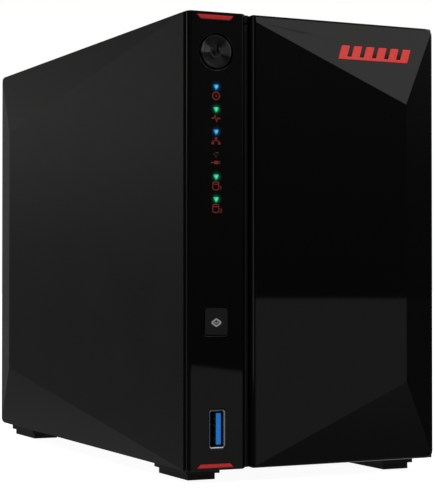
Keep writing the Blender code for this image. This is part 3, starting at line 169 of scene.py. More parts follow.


def gloss_plastic(name, colour, roughness=0.02, tilt=None, lights=(), crown=None):
    """Piano-black plastic: nearly a mirror, with a very slow waviness, faint hairlines and a little dust.

    tilt is (lean, twist, x): reflections lean up by lean, and by twist more for each metre right of x.
    lights are ((x, y, z), colour) around which a glow is painted into it as emission. crown is (left x, right
    x) of a chamfer on the left, whose reflections sweep as if it were slightly rounded."""
    material, s = new_material(name)
    hairlines = s.noise(420.0, 3.0, 0.6, stretch=(1.0, 1.0, 0.06))
    specks = s.step(s.noise(5200.0, 0.0), 0.79, 0.84)
    gloss = s.math("MULTIPLY_ADD", s.step(hairlines, 0.55, 0.8), 0.03, roughness)
    gloss = s.math("MULTIPLY_ADD", specks, 0.15, gloss)
    normal = s.bump(s.noise(9.0, 1.0), 0.02 * MM, 0.35)
    if tilt:
        lean, twist, start = tilt
        right_of = s.math("SUBTRACT", s.axes()[0], start)
        up = s.node("ShaderNodeCombineXYZ", {2: s.math("MULTIPLY_ADD", right_of, twist, lean)}).outputs[0]
        normal = s.vector("NORMALIZE", s.vector("ADD", normal, up))
    if crown:
        x, y, _ = s.axes(s.node("ShaderNodeNewGeometry").outputs["True Normal"])
        lean = s.math("MULTIPLY", s.step(s.axes()[0], *crown, -0.18, 0.18), s.math("LESS_THAN", x, -0.5))
        lean = s.math("MULTIPLY", lean, s.math("LESS_THAN", y, -0.5))
        normal = s.vector("NORMALIZE", s.vector("ADD", normal, s.scaled((0.75, -0.66, 0.0), lean)))
    inputs = {}
    # painted glow: emission that fades with distance from each light, standing in for its light spilling onto
    # the panel
    if lights:
        total = None
        for centre, glow in lights:
            away = s.math("DIVIDE", s.vector("DISTANCE", s.position(), centre), PAINTED_GLOW_REACH)
            share = s.math("EXPONENT", s.math("MULTIPLY", s.math("POWER", away, 2.0), -1.0))
            tinted = s.scaled(glow, share)
            total = s.vector("ADD", total, tinted) if total else tinted
        inputs = {"Emission_Color": total, "Emission_Strength": 0.32}
    s.finish(Base_Color=s.mix(specks, colour, (0.03, 0.03, 0.03)), Roughness=gloss, Normal=normal, **inputs)
    return material


def sheet_metal(name, colour, roughness=0.3, streak=(1.0, 0.04, 1.0), scale=900.0, mottle=0.12, spangle=0.0):
    """Rolled or plated sheet: fine streaks along the rolling direction over a cloudy plating.

    spangle is the size in millimetres of a zinc coat's crystals, which differ in shade and gloss."""
    material, s = new_material(name)
    streaks = s.noise(scale, 3.0, 0.65, stretch=streak)
    clouds = s.noise(55.0, 4.0, 0.6)
    gloss = s.math("MULTIPLY_ADD", streaks, 0.22, roughness - 0.11)
    gloss = s.math("MULTIPLY_ADD", clouds, 0.14, gloss)
    shade = s.step(clouds, 0.3, 0.75)
    if spangle:
        ragged = s.node("ShaderNodeTexNoise", {"Vector": s.place(), "Scale": 400.0}).outputs["Color"]
        warp = s.vector("ADD", s.place(), s.scaled(ragged, 0.4 * spangle * MM))
        cells = s.node("ShaderNodeTexVoronoi", {"Vector": warp, "Scale": 1000.0 / spangle}).outputs["Color"]
        crystal = s.node("ShaderNodeSeparateColor", {0: cells}).outputs
        shade = s.math("MULTIPLY_ADD", shade, 0.35, s.math("MULTIPLY", crystal[0], 0.65))
        gloss = s.math("MULTIPLY_ADD", crystal[1], 0.16, s.math("SUBTRACT", gloss, 0.08))
    s.finish(
        Base_Color=s.mix(shade, darker(colour, 1.0 - 1.6 * mottle), colour),
        Metallic=1.0,
        Roughness=gloss,
        Normal=s.bump(streaks, 0.006 * MM, 0.5),
    )
    return material


def spun_metal(name, dark, pale, centre, painted_lobes, roughness=0.34, rings=0.22):
    """Metal turned about an axis along Y: circular cuts that stretch its reflections into a bow tie, over a
    bow tie of painted highlight in its colour.

    painted_lobes are ((x, y, z), spread) directions from the centre where a painted highlight makes it pale.
    rings is the pitch of the cuts in millimetres."""
    material, s = new_material(name)
    flat = s.vector("MULTIPLY", s.vector("SUBTRACT", s.place(), centre), (1.0, 0.0, 1.0))
    radius = s.vector("LENGTH", flat)
    along = {"W": s.math("MULTIPLY", radius, 1000.0 / rings), "Detail": 2.0}
    cuts = s.node("ShaderNodeTexNoise", along, noise_dimensions="1D").outputs["Fac"]
    outward = s.vector("NORMALIZE", flat)
    # painted highlight: the colour is paler towards the top and bottom and in the painted lobes, standing in
    # for the bow tie of reflections
    share = s.step(s.math("ABSOLUTE", s.axes(outward)[2]), 0.25, 0.9, 0.0, 0.2)
    for toward, spread in painted_lobes:
        painted_lobe = s.step(s.vector("DOT_PRODUCT", outward, toward), spread, 0.99)
        share = s.math("ADD", share, s.math("MULTIPLY", painted_lobe, s.step(radius, 1.0 * MM, 2.4 * MM)))
    share = s.math("MULTIPLY", share, s.math("MULTIPLY_ADD", cuts, 0.5, 0.75), clamp=True)
    s.finish(
        Base_Color=s.mix(share, dark, pale),
        Metallic=1.0,
        Roughness=s.math("MULTIPLY_ADD", cuts, 0.12, roughness - 0.05),
        Anisotropic=1.0,
        Anisotropic_Rotation=0.03,
        Tangent=s.vector("NORMALIZE", s.vector("CROSS_PRODUCT", flat, (0.0, 1.0, 0.0))),
        Normal=s.bump(cuts, 0.004 * MM, 0.6),
    )
    return material


def cast_metal(name, colour, roughness=0.42):
    """A die casting: a pitted skin with a soft mottle."""
    material, s = new_material(name)
    clouds = s.noise(70.0, 3.0, 0.6)
    s.finish(
        Base_Color=s.mix(clouds, darker(colour, 0.78), colour),
        Metallic=1.0,
        Roughness=s.math("MULTIPLY_ADD", clouds, 0.2, roughness - 0.1),
        Normal=s.bump(s.noise(1500.0, 4.0, 0.65), 0.02 * MM, 0.6),
    )
    return material


def rubber(name, colour):
    material, s = new_material(name)
    dusty = s.noise(220.0, 4.0, 0.7)
    s.finish(
        Base_Color=s.mix(s.step(dusty, 0.45, 0.8), colour, tuple(c * 2.4 + 0.01 for c in colour)),
        Roughness=s.math("MULTIPLY_ADD", dusty, 0.15, 0.72),
        Sheen_Weight=0.12,
        Normal=s.bump(s.noise(2400.0, 3.0, 0.7), 0.02 * MM, 0.8),
    )
    return material


def circuit_board(name, across):
    """Solder resist over copper: tracks that run in two directions, and rows of tinned through holes.

    across names the two coordinates that lie in the board's plane."""
    material, s = new_material(name)
    u, v = (s.axes()[i] for i in across)
    plane = s.node("ShaderNodeCombineXYZ", {0: u, 1: v, 2: 0.0}).outputs[0]
    cells = s.node("ShaderNodeTexVoronoi", {"Vector": plane, "Scale": 55.0}, distance="CHEBYCHEV")
    pick = s.node("ShaderNodeSeparateColor", {0: cells.outputs["Color"]}).outputs
    along = s.mix(s.math("GREATER_THAN", pick[0], 0.5), (0, 0, 0), (1, 1, 1))
    lines_u, lines_v = (s.math("FRACT", s.math("MULTIPLY", value, 760.0)) for value in (u, v))
    chosen = s.node("ShaderNodeMix", {0: along, 2: lines_u, 3: lines_v}, data_type="FLOAT").outputs[0]
    tracks = s.math("MULTIPLY", s.math("LESS_THAN", chosen, 0.4), s.math("GREATER_THAN", pick[1], 0.35))
    grid = s.node("ShaderNodeTexVoronoi", {"Vector": plane, "Scale": 210.0, "Randomness": 0.55})
    in_hole = s.math("LESS_THAN", grid.outputs["Distance"], 0.13)
    holes = s.math("MULTIPLY", in_hole, s.step(pick[2], 0.4, 0.5))
    resist = s.mix(tracks, (0.004, 0.045, 0.02), (0.008, 0.085, 0.035))
    s.finish(
        Base_Color=s.mix(holes, resist, (0.62, 0.6, 0.55)),
        Metallic=holes,
        Roughness=s.math("MULTIPLY_ADD", s.noise(600.0), 0.12, 0.22),
        Coat_Weight=0.3,
        Normal=s.bump(s.math("ADD", tracks, holes), 0.03 * MM, 0.7),
    )
    return material


def lens(name, colour, centre=None, core=None):
    """A light's window: it glows, in the colour core at centre. With no centre it is unlit and smoky."""
    material, s = new_material(name)
    speckle = s.math("MULTIPLY_ADD", s.noise(3000.0), 0.2, 0.9)
    inputs = {}
    if centre:
        share = s.step(s.vector("DISTANCE", s.position(), centre), 0.0, 0.85 * MM)
        glow = s.mix(share, core, colour)
        inputs = {"Emission_Color": glow, "Emission_Strength": s.math("MULTIPLY", speckle, 1.1)}
    gloss = s.math("MULTIPLY", speckle, 0.18)
    s.finish(Base_Color=darker(colour, 0.4), Roughness=gloss, Coat_Weight=0.5, **inputs)
    return material


def plastic_with_painted_glow(name, colour, strength, tip=None):
    """Coloured plastic with depth: a clear coat over a mottled pigment, with a painted glow of emission in
    its own colour.

    With tip, a place along Y, the painted glow is only on the end that lies there, and the rest is darkened
    by painted shade as if deep in its socket."""
    material, s = new_material(name)
    cloud = s.noise(700.0, 3.0, 0.6)
    base = s.mix(cloud, darker(colour, 0.85), colour)
    # painted shade and glow: dark and unlit away from the tip, glowing only at it
    if tip is not None:
        depth = s.math("ABSOLUTE", s.math("SUBTRACT", s.axes()[1], tip))
        base = s.mix(s.step(depth, 0.1 * MM, 0.5 * MM), base, darker(colour, 0.04))
        strength = s.step(depth, 0.1 * MM, 0.4 * MM, strength, 0.0)
    # painted glow: emission in the plastic's own colour, though it is no lamp
    s.finish(
        Base_Color=base,
        Roughness=s.math("MULTIPLY_ADD", cloud, 0.12, 0.2),
        Coat_Weight=0.4,
        Coat_Roughness=0.08,
        Emission_Color=colour,
        Emission_Strength=strength,
        Normal=s.bump(s.noise(2500.0), 0.006 * MM, 0.5),
    )
    return material


def contact_metal(name, colour):
    material, s = new_material(name)
    wear = s.noise(1800.0, 3.0, 0.6)
    s.finish(
        Base_Color=s.mix(wear, darker(colour, 0.8), colour),
        Metallic=1.0,
        Roughness=s.math("MULTIPLY_ADD", wear, 0.2, 0.18),
        Normal=s.bump(wear, 0.004 * MM, 0.5),
    )
    return material


# ---------- where things are


def middle(node):
    low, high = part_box(node)
    return (low + high) / 2


def mm_box(node):
    """A CAD node's lowest corner, highest corner and middle, in millimetres."""
    low, high = (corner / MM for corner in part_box(node))
    return low, high, (low + high) / 2


FRONT_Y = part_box("control_panel")[0].y
FACE_Y = FRONT_Y / MM
PIPE_LOW, PIPE_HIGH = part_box("light_pipe")
PIPE_END = 2.0 * MM  # its bar runs this far past the first and last light
LIGHT_X = (PIPE_LOW.x + PIPE_HIGH.x) / 2
LIGHT_LOW_Z, LIGHT_TOP_Z = PIPE_LOW.z + PIPE_END, PIPE_HIGH.z - PIPE_END
LIGHT_Z = [LIGHT_TOP_Z + (LIGHT_LOW_Z - LIGHT_TOP_Z) * i / 5 for i in range(6)]
BLUE, GREEN, UNLIT = (0.004, 0.18, 0.46), (0.005, 0.42, 0.18), (0.02, 0.02, 0.022)
CORES = {BLUE: (0.09, 0.62, 0.84), GREEN: (0.06, 0.8, 0.44)}
LIGHT_COLOURS = (BLUE, GREEN, BLUE, UNLIT, GREEN, GREEN)
BOARD_FACE_X = mm_box("main_board")[0].x + 1.6  # the side of the main board that carries its parts

# ---------- materials

COVER = moulded_plastic("cover_paint", (0.012, 0.012, 0.0115), 0.27, grain=0.4, depth=0.003)
FRAME_BLACK = moulded_plastic("frame_plastic", (0.013, 0.013, 0.013), 0.42, grain=0.5, depth=0.008)
PAN = moulded_plastic("pan_coating", (0.021, 0.021, 0.021), 0.46, grain=0.6, depth=0.015)
TRAY = moulded_plastic("tray_plastic", (0.022, 0.022, 0.023), 0.38, grain=0.5, depth=0.01)
SOCKET = moulded_plastic("socket_plastic", (0.012, 0.012, 0.012), 0.35, grain=0.3, depth=0.004)
FAN = moulded_plastic("fan_plastic", (0.02, 0.02, 0.021), 0.3, grain=0.8, depth=0.01)
COPY = moulded_plastic("copy_button_paint", (0.013, 0.013, 0.013), 0.35, grain=0.3, depth=0.004)
SIGN_DIM = moulded_plastic("sign_dim", (0.045, 0.045, 0.045), 0.4, grain=0.2, depth=0.002)
COIL = moulded_plastic("coil_ferrite", (0.05, 0.05, 0.052), 0.6, grain=0.3, depth=0.03)
CHIP = moulded_plastic("chip_epoxy", (0.014, 0.014, 0.015), 0.45, grain=0.25, depth=0.01)
CERAMIC = moulded_plastic("ceramic", (0.22, 0.17, 0.11), 0.5, grain=0.2, depth=0.005)
PAPER = moulded_plastic("label_paper", (0.62, 0.63, 0.64), 0.55, grain=0.4, depth=0.006)
WIRES = {
    colour: moulded_plastic(f"wire_{colour}", pigment, 0.4, grain=0.4, depth=0.003)
    for colour, pigment in (
        ("black", (0.015, 0.015, 0.015)), ("red", (0.5, 0.015, 0.015)), ("yellow", (0.65, 0.45, 0.03))
    )
}

GLOSS_BLACK = (0.0025, 0.0025, 0.0025)
DOOR_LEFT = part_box("front_door")[0].x
DOOR = gloss_plastic("door_gloss", GLOSS_BLACK, crown=(DOOR_LEFT, DOOR_LEFT + 1.6 * MM))
PANEL_TILT = (0.0232, 0.125, middle("control_panel").x)
# painted glow on the panel around each lit window
PAINTED_GLOW_SPOTS = [((LIGHT_X, FRONT_Y, z), c) for z, c in zip(LIGHT_Z, LIGHT_COLOURS) if c != UNLIT]
PANEL = gloss_plastic("panel_gloss", GLOSS_BLACK, tilt=PANEL_TILT, lights=PAINTED_GLOW_SPOTS)

# painted glow: these plastic pieces emit faintly in their own colour though none is a lamp; the latch and
# rear tongues get none
RED = plastic_with_painted_glow("accent_red", (0.72, 0.03, 0.035), 0.3)
LATCH_RED = plastic_with_painted_glow("latch_red", (0.55, 0.025, 0.028), 0.0)
EMBLEM = plastic_with_painted_glow("emblem_red", (0.9, 0.045, 0.035), 0.4)
BLUE_PLASTIC = plastic_with_painted_glow("tongue_blue", (0.01, 0.22, 0.72), 0.0)
# painted shade along the front tongue away from its tip, and a painted glow on the tip
BLUE_TIP = plastic_with_painted_glow("front_tongue_blue", (0.012, 0.22, 0.72), 0.5, tip=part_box("front_usb_tongue")[0].y)
SIGN_RED = plastic_with_painted_glow("sign_red", (0.34, 0.035, 0.03), 0.22)
SIGN_PALE = plastic_with_painted_glow("sign_pale", (0.6, 0.6, 0.6), 0.14)

LENSES = [
    lens(f"light_window_{i + 1}", c, None if c == UNLIT else (LIGHT_X, FRONT_Y, LIGHT_Z[i]), CORES.get(c))
    for i, c in enumerate(LIGHT_COLOURS)
]
LENS_BAR = lens("light_pipe_clear", (0.5, 0.52, 0.52))
LAMP_GREEN = lens("jack_lamp_green", (0.02, 0.2, 0.06))
LAMP_AMBER = lens("jack_lamp_amber", (0.45, 0.2, 0.02))

# directions of the painted highlight lobes in the power button's colour
PAINTED_BOW_TIE_LOBES = (((0.97, 0.0, 0.24), 0.8), ((-0.96, 0.0, 0.28), 0.9))
BUTTON = spun_metal("spun_button", (0.02, 0.02, 0.02), (0.18, 0.18, 0.18), middle("power_button"), PAINTED_BOW_TIE_LOBES)
STEEL = sheet_metal("plated_steel", (0.60, 0.60, 0.61), 0.3)
CAGE = sheet_metal("zinc_sheet", (0.6, 0.61, 0.62), 0.36, mottle=0.2, spangle=3.2)
SHELL = sheet_metal("socket_shell", (0.68, 0.68, 0.69), 0.2, scale=1400.0)
LIP = sheet_metal("socket_lip", (0.82, 0.82, 0.82), 0.04, scale=1400.0, mottle=0.05)
ALUMINIUM = sheet_metal("anodised_fins", (0.62, 0.63, 0.65), 0.3, streak=(1.0, 0.05, 1.0))
SCREW = sheet_metal("screw_steel", (0.42, 0.42, 0.43), 0.3, streak=(1.0, 1.0, 1.0), scale=1500.0)
CAN = sheet_metal("capacitor_can", (0.6, 0.61, 0.63), 0.28, streak=(0.05, 1.0, 1.0))
STICKER = sheet_metal("hub_sticker", (0.55, 0.56, 0.58), 0.35, streak=(1.0, 1.0, 1.0), scale=400.0)
CASTING = cast_metal("drive_casting", (0.42, 0.43, 0.44))
GOLD = contact_metal("gold_contacts", (0.86, 0.62, 0.25))
RUBBER = rubber("foot_rubber", (0.012, 0.012, 0.012))
BOARD_UPRIGHT = circuit_board("board_side_on", (1, 2))
BOARD_FACING = circuit_board("board_face_on", (0, 2))


# ---------- edges and shading

CORNER_ANGLE = math.radians(50.0)  # edges that turn by more stay sharp
LARGE_FACE = 8e-6  # in square metres; the faces of a rounded edge are smaller


def smooth_to_corners(s, geometry):
    """Shades geometry smooth, apart from its corners."""
    angle = s.node("GeometryNodeInputMeshEdgeAngle").outputs["Unsigned Angle"]
    gentle = s.math("LESS_THAN", angle, CORNER_ANGLE)
    faces = s.node("GeometryNodeSetShadeSmooth", {0: geometry}).outputs[0]
    return s.node("GeometryNodeSetShadeSmooth", {0: faces, "Shade Smooth": gentle}, domain="EDGE").outputs[0]


def smooth_roundings(s, geometry):
    """Shades geometry flat where a face is large or square to an axis, and smooth on its rounded edges."""
    area = s.node("GeometryNodeInputMeshFaceArea").outputs[0]
    x, y, z = s.axes(s.vector("ABSOLUTE", s.node("GeometryNodeInputNormal").outputs[0]))
    square = s.math("MAXIMUM", s.math("MAXIMUM", x, y), z)
    rounding = s.math("MULTIPLY", s.math("LESS_THAN", area, LARGE_FACE), s.math("LESS_THAN", square, 0.99999))
    return s.node("GeometryNodeSetShadeSmooth", {0: geometry, "Shade Smooth": rounding}).outputs[0]


def shading_group(shade):
    """The node group that puts a mesh through the nodes that shade adds."""
    group = bpy.data.node_groups.get(shade.__name__)
    if not group:
        group = bpy.data.node_groups.new(shade.__name__, "GeometryNodeTree")
        for way in ("INPUT", "OUTPUT"):
            group.interface.new_socket("Geometry", in_out=way, socket_type="NodeSocketGeometry")
        s = Shader(group)
        shaded = shade(s, s.node("NodeGroupInput").outputs[0])
        s.node("NodeGroupOutput", {0: shaded})
    return group


def soften(obj, bevel, segments, limit=40.0, facets=False):
    """Rounds obj's edges by bevel millimetres and shades its flats flat and its curves smooth.

    On a faceted piece the shallow creases between facets stay crisp."""
    if bevel:
        rounding = obj.modifiers.new("edges", "BEVEL")
        rounding.width = bevel * MM
        rounding.segments = segments
        rounding.limit_method = "ANGLE"
        rounding.angle_limit = math.radians(limit)
        rounding.use_clamp_overlap = True
        rounding.miter_outer = "MITER_ARC"
    shading = obj.modifiers.new("shading", "NODES")
    shading.node_group = shading_group(smooth_roundings if facets else smooth_to_corners)
    if not facets:
        weighted = obj.modifiers.new("flats", "WEIGHTED_NORMAL")
        weighted.mode = "FACE_AREA"
        weighted.weight = 100
        weighted.keep_sharp = True


def keep(nodes, material, bevel, segments=2, limit=40.0, facets=False):
    """CAD nodes, named in one string, that stay: their edges are softened by bevel millimetres."""
    for node in nodes.split():
        obj = NODES[node]
        mesh = obj.data
        mesh.materials.clear()
        mesh.materials.append(material)
        for name in ("custom_normal", "sharp_face", "sharp_edge"):
            if mesh.attributes.get(name):
                mesh.attributes.remove(mesh.attributes[name])
        obj.modifiers.new("weld", "WELD").merge_threshold = 1e-6
        soften(obj, bevel, segments, limit, facets)


# ---------- mesh code for new pieces, in millimetres


def solid():
    return bmesh.new()


def add_box(bm, low, high):
    low, high = Vector(low), Vector(high)
    place = Matrix.Translation((low + high) / 2) @ Matrix.Diagonal((*(high - low), 1))
    bmesh.ops.create_cube(bm, size=1, matrix=place)
    return bm


def loft(bm, rows, caps=True, loop=False):
    """Joins rows of as many points each into a skin, closed by end faces or, in a loop, by its first row."""
    rings = [[bm.verts.new(point) for point in row] for row in rows]
    for near, far in zip(rings, rings[1:] + (rings[:1] if loop else [])):
        for i in range(len(near)):
            j = (i + 1) % len(near)
            bm.faces.new((near[i], near[j], far[j], far[i]))
    if caps and not loop:
        bm.faces.new(rings[0])
        bm.faces.new(rings[-1][::-1])
    return rings


TURN_TO = {
    "X": Matrix.Rotation(math.pi / 2, 4, "Y"),
    "Y": Matrix.Rotation(-math.pi / 2, 4, "X"),
}


def add_turned(bm, profile, centre, axis, segments=64):
    """A solid of revolution. profile lists (radius, distance along axis), and starts and ends on the axis."""
    place = Matrix.Translation(centre) @ TURN_TO[axis]
    turns = [2 * math.pi * i / segments for i in range(segments)]
    rows = [
        [place @ Vector((radius * math.cos(turn), radius * math.sin(turn), along)) for turn in turns]
        for radius, along in profile[1:-1]
    ]
    rings = loft(bm, rows, caps=False)
    for (_, along), ring in ((profile[0], rings[0]), (profile[-1], rings[-1][::-1])):
        end = bm.verts.new(place @ Vector((0, 0, along)))
        for i in range(segments):
            bm.faces.new((end, ring[(i + 1) % segments], ring[i]))
    return bm


def add_rod(bm, centre, radius, length, axis, segments=24):
    """A round rod that starts at centre, with a small chamfer at each end."""
    edge = min(radius, length) * 0.15
    profile = [(0, 0), (radius - edge, 0), (radius, edge), (radius, length - edge), (radius - edge, length)]
    return add_turned(bm, profile + [(0, length)], centre, axis, segments)


def add_prism(bm, outline, low, high, axis):
    """A flat outline in the other two coordinates, made solid between low and high along axis."""
    def point(u, v, along):
        return {"X": (along, u, v), "Y": (u, along, v), "Z": (u, v, along)}[axis]

    loft(bm, [[point(u, v, along) for u, v in outline] for along in (low, high)])
    return bm


def arc(centre, radius, start, end, steps, flatten=1.0):
    """Points on an arc from start to end in degrees, its second coordinate flattened."""
    turns = [math.radians(start + (end - start) * i / steps) for i in range(steps + 1)]
    return [(centre[0] + radius * math.cos(t), centre[1] + flatten * radius * math.sin(t)) for t in turns]


def rounded(low, high, radius, steps=4):
    """The outline of a rectangle with rounded corners."""
    left, right, bottom, top = low[0] + radius, high[0] - radius, low[1] + radius, high[1] - radius
    outline = []
    for turn, centre in enumerate(((right, top), (left, top), (left, bottom), (right, bottom))):
        outline += arc(centre, radius, 90 * turn, 90 * (turn + 1), steps)
    return outline


def add_ribbon(bm, points, width, front, back):
    """A raised line along (x, z) points between two y values, which closes if it ends where it starts."""
    closed = math.dist(points[0], points[-1]) < 1e-6
    points = [Vector(point) for point in (points[:-1] if closed else points)]
    rows = []
    for i, place in enumerate(points):
        before = points[i - 1] if closed or i else None
        after = points[(i + 1) % len(points)] if closed or i < len(points) - 1 else None
        normals = [(b - a).orthogonal().normalized() for a, b in ((before, place), (place, after)) if a and b]
        across = sum(normals, Vector((0, 0))).normalized()
        reach = across * (width / 2 / max(across.dot(normals[0]), 0.45))
        left, right = place + reach, place - reach
        corners = ((left, front), (left, back), (right, back), (right, front))
        rows.append([(side.x, y, side.y) for side, y in corners])
    loft(bm, rows, loop=closed)
    return bm


def add_tube(bm, points, radius, segments=10):
    """A round tube along points, its ends closed."""
    points = [Vector(p) for p in points]
    turns = [2 * math.pi * k / segments for k in range(segments)]
    rows = []
    side = None
    for i, place in enumerate(points):
        ahead = (points[min(i + 1, len(points) - 1)] - points[max(i - 1, 0)]).normalized()
        side = side or ahead.orthogonal().normalized()
        side = (side - ahead * side.dot(ahead)).normalized()
        up = ahead.cross(side)
        rows.append([place + radius * (math.cos(t) * side + math.sin(t) * up) for t in turns])
    loft(bm, rows)
    return bm


def smooth_path(points, steps):
    """A Catmull-Rom curve through points."""
    points = [2 * points[0] - points[1]] + points + [2 * points[-1] - points[-2]]
    path = []
    for a, b, c, d in zip(points, points[1:], points[2:], points[3:]):
        for t in (i / steps for i in range(steps)):
            bend = (2 * a - 5 * b + 4 * c - d) * t * t + (3 * b - a - 3 * c + d) * t ** 3
            path.append(0.5 * (2 * b + (c - a) * t + bend))
    path.append(points[-2])
    return path


def piece(name, bm, material, bevel=0.0, segments=2, body="chassis", stands_for=None):
    """Makes a shown piece from bm, which rides on body and may stand for a CAD node."""
    bmesh.ops.scale(bm, verts=bm.verts, vec=(MM, MM, MM))
    bmesh.ops.recalc_face_normals(bm, faces=bm.faces)
    mesh = bpy.data.meshes.new(name)
    bm.to_mesh(mesh)
    bm.free()
    obj = bpy.data.objects.new(name, mesh)
    bpy.context.scene.collection.objects.link(obj)
    mesh.materials.append(material)
    soften(obj, bevel, segments)
    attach(obj, body)
    if stands_for:
        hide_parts(stands_for)


# ---------- CAD nodes that stay

keep("outer_cover", COVER, 0.3, 3, 20.0, facets=True)
keep("front_door", DOOR, 0.25, 3, 20.0, facets=True)
keep("control_panel", PANEL, 0.25, 3, 30.0, facets=True)
keep("front_bezel", FRAME_BLACK, 0.3)
keep("door_emblem", EMBLEM, 0.08)
keep("copy_button", COPY, 0.5, segments=3)
keep("bottom_pan", PAN, 0.3)
keep("rear_panel", PAN, 0.12, segments=1)
keep("drive_cage", CAGE, 0.2, segments=1)
keep("accent_strip_top accent_strip_bottom", RED, 0.12)
keep("front_usb_shell rear_usb_upper_shell rear_usb_lower_shell", SHELL, 0.15, 3)
keep("front_usb_tongue", BLUE_TIP, 0.12)
keep("rear_usb_upper_tongue rear_usb_lower_tongue", BLUE_PLASTIC, 0.12)
keep("power_switch copy_switch sata_socket_1 sata_socket_2 buzzer power_jack reset_button", SOCKET, 0.15)
keep("fan_frame", FAN, 0.2)
keep("fan_rotor", FAN, 0.15)
keep("network_jack clock_battery strike_plate_upper strike_plate_lower", STEEL, 0.15)
keep("door_magnet_upper door_magnet_lower", STEEL, 0.2)
keep("tray_1_frame tray_2_frame", TRAY, 0.25)
keep("tray_1_handle tray_2_handle", TRAY, 0.3)
keep("tray_1_latch tray_2_latch", LATCH_RED, 0.3)
keep("tray_1_hinge_pin tray_2_hinge_pin", STEEL, 0.1)
keep("hard_drive_1 hard_drive_2", CASTING, 0.3)
keep("heat_sink", ALUMINIUM, 0.1, segments=1)
keep("main_board", BOARD_UPRIGHT, 0.1, segments=1)
keep("front_board backplane_board", BOARD_FACING, 0.1, segments=1)

# ---------- lights and their signs on the column

WINDOW_RADIUS, WINDOW_CORNER = 0.6, 0.44  # to the middle of a window's corner, and the corner's own radius
SIGN_X, SIGN_DROP = LIGHT_X / MM - 0.15, 3.25  # a sign is this far below its light
SIGN_SPAN = (FACE_Y - 0.015, FACE_Y + 0.1)
STROKE = 0.4


def make_light_pipe():
    """A clear bar behind the column, and six three-sided windows with rounded corners and crowned faces."""
    low, high, _ = mm_box("light_pipe")
    bar_front = high.y - 1.7
    bar = add_box(solid(), (low.x, bar_front, low.z), high)
    piece("light_pipe_bar", bar, LENS_BAR, 0.25, 3, stands_for="light_pipe")
    outline = []
    for turn in (-90, 30, 150):
        toward = math.radians(turn)
        corner = (WINDOW_RADIUS * math.cos(toward), WINDOW_RADIUS * math.sin(toward))
        outline += arc(corner, WINDOW_CORNER, turn - 60, turn + 60, 4)
    crown = ((0.5, FACE_Y - 0.03), (0.8, FACE_Y), (1.0, FACE_Y + 0.1), (1.0, bar_front + 0.2))
    for number, (light_z, glass) in enumerate(zip(LIGHT_Z, LENSES), 1):
        x, z = LIGHT_X / MM, light_z / MM
        bm = solid()
        loft(bm, [[(x + share * u, y, z + share * v) for u, v in outline] for share, y in crown])
        piece(f"light_window_{number}", bm, glass)


def make_sign(name, z, strokes, pads=()):
    """A raised sign of strokes (width, points) and pads (low, high, corner radius) around its middle."""
    bm = solid()
    for width, points in strokes:
        add_ribbon(bm, [(SIGN_X + u, z + v) for u, v in points], width, *SIGN_SPAN)
    for low, high, radius in pads:
        add_prism(bm, [(SIGN_X + u, z + v) for u, v in rounded(low, high, radius, 2)], *SIGN_SPAN, "Y")
    piece(f"sign_{name}", bm, SIGN_RED)


def make_signs():
    """Plain signs under the lights: power, activity, network, plug, and the two drives with their numbers."""
    heights = [z / MM - SIGN_DROP for z in LIGHT_Z]
    ring, hand = arc((0, 0), 1.33, 0, 360, 32), [(0, 0.55), (0, -0.1), (0.5, -0.35)]
    make_sign("power", heights[0], [(STROKE, ring), (0.3, hand)])
    pulse = [(-1.75, 0), (-0.85, 0), (-0.3, 1.0), (0.2, -1.1), (0.65, 0.25), (0.85, 0), (1.75, 0)]
    make_sign("activity", heights[1], [(STROKE, pulse)])
    branch = [(-1.25, -0.32), (-1.25, 0), (1.25, 0), (1.25, -0.32)]
    places = ((0, 0.85), (-1.25, -0.85), (1.25, -0.85))
    boxes = [((u - 0.5, v - 0.42), (u + 0.5, v + 0.42), 0.12) for u, v in places]
    make_sign("network", heights[2], [(0.26, branch), (0.26, [(0, 0.14), (0, 0.42)])], boxes)
    prongs = [(0.26, [(0.94, v), (1.7, v)]) for v in (-0.3, 0.3)]
    cord = (0.34, [(-1.9, -0.2), (-1.3, 0), (-0.74, 0)])
    make_sign("plug", heights[3] + 0.3, [cord, *prongs], [((-0.7, -0.6), (0.9, 0.6), 0.2)])
    wide, lid_flat, base_flat = 1.15, 0.42 / 1.15, 0.5 / 1.15
    lid = arc((-0.1, 0.95), wide, 0, 360, 20, lid_flat)
    can = [(-0.1 - wide, 0.62), (-0.1 - wide, -0.9), *arc((-0.1, -0.95), wide, 198, 342, 10, base_flat)]
    can += [(-0.1 + wide, -0.9), (-0.1 + wide, 0.62)]
    one = [(1.55, -0.33), (1.85, -0.15), (1.85, -1.35)]
    two = arc((1.85, -0.47), 0.34, 160, -20, 5) + [(1.5, -1.35), (2.3, -1.35)]
    for number, digit in ((1, one), (2, two)):
        strokes = [(0.8 * STROKE, lid), (0.8 * STROKE, can), (0.24, digit)]
        make_sign(f"drive_{number}", heights[3 + number], strokes)


# ---------- buttons


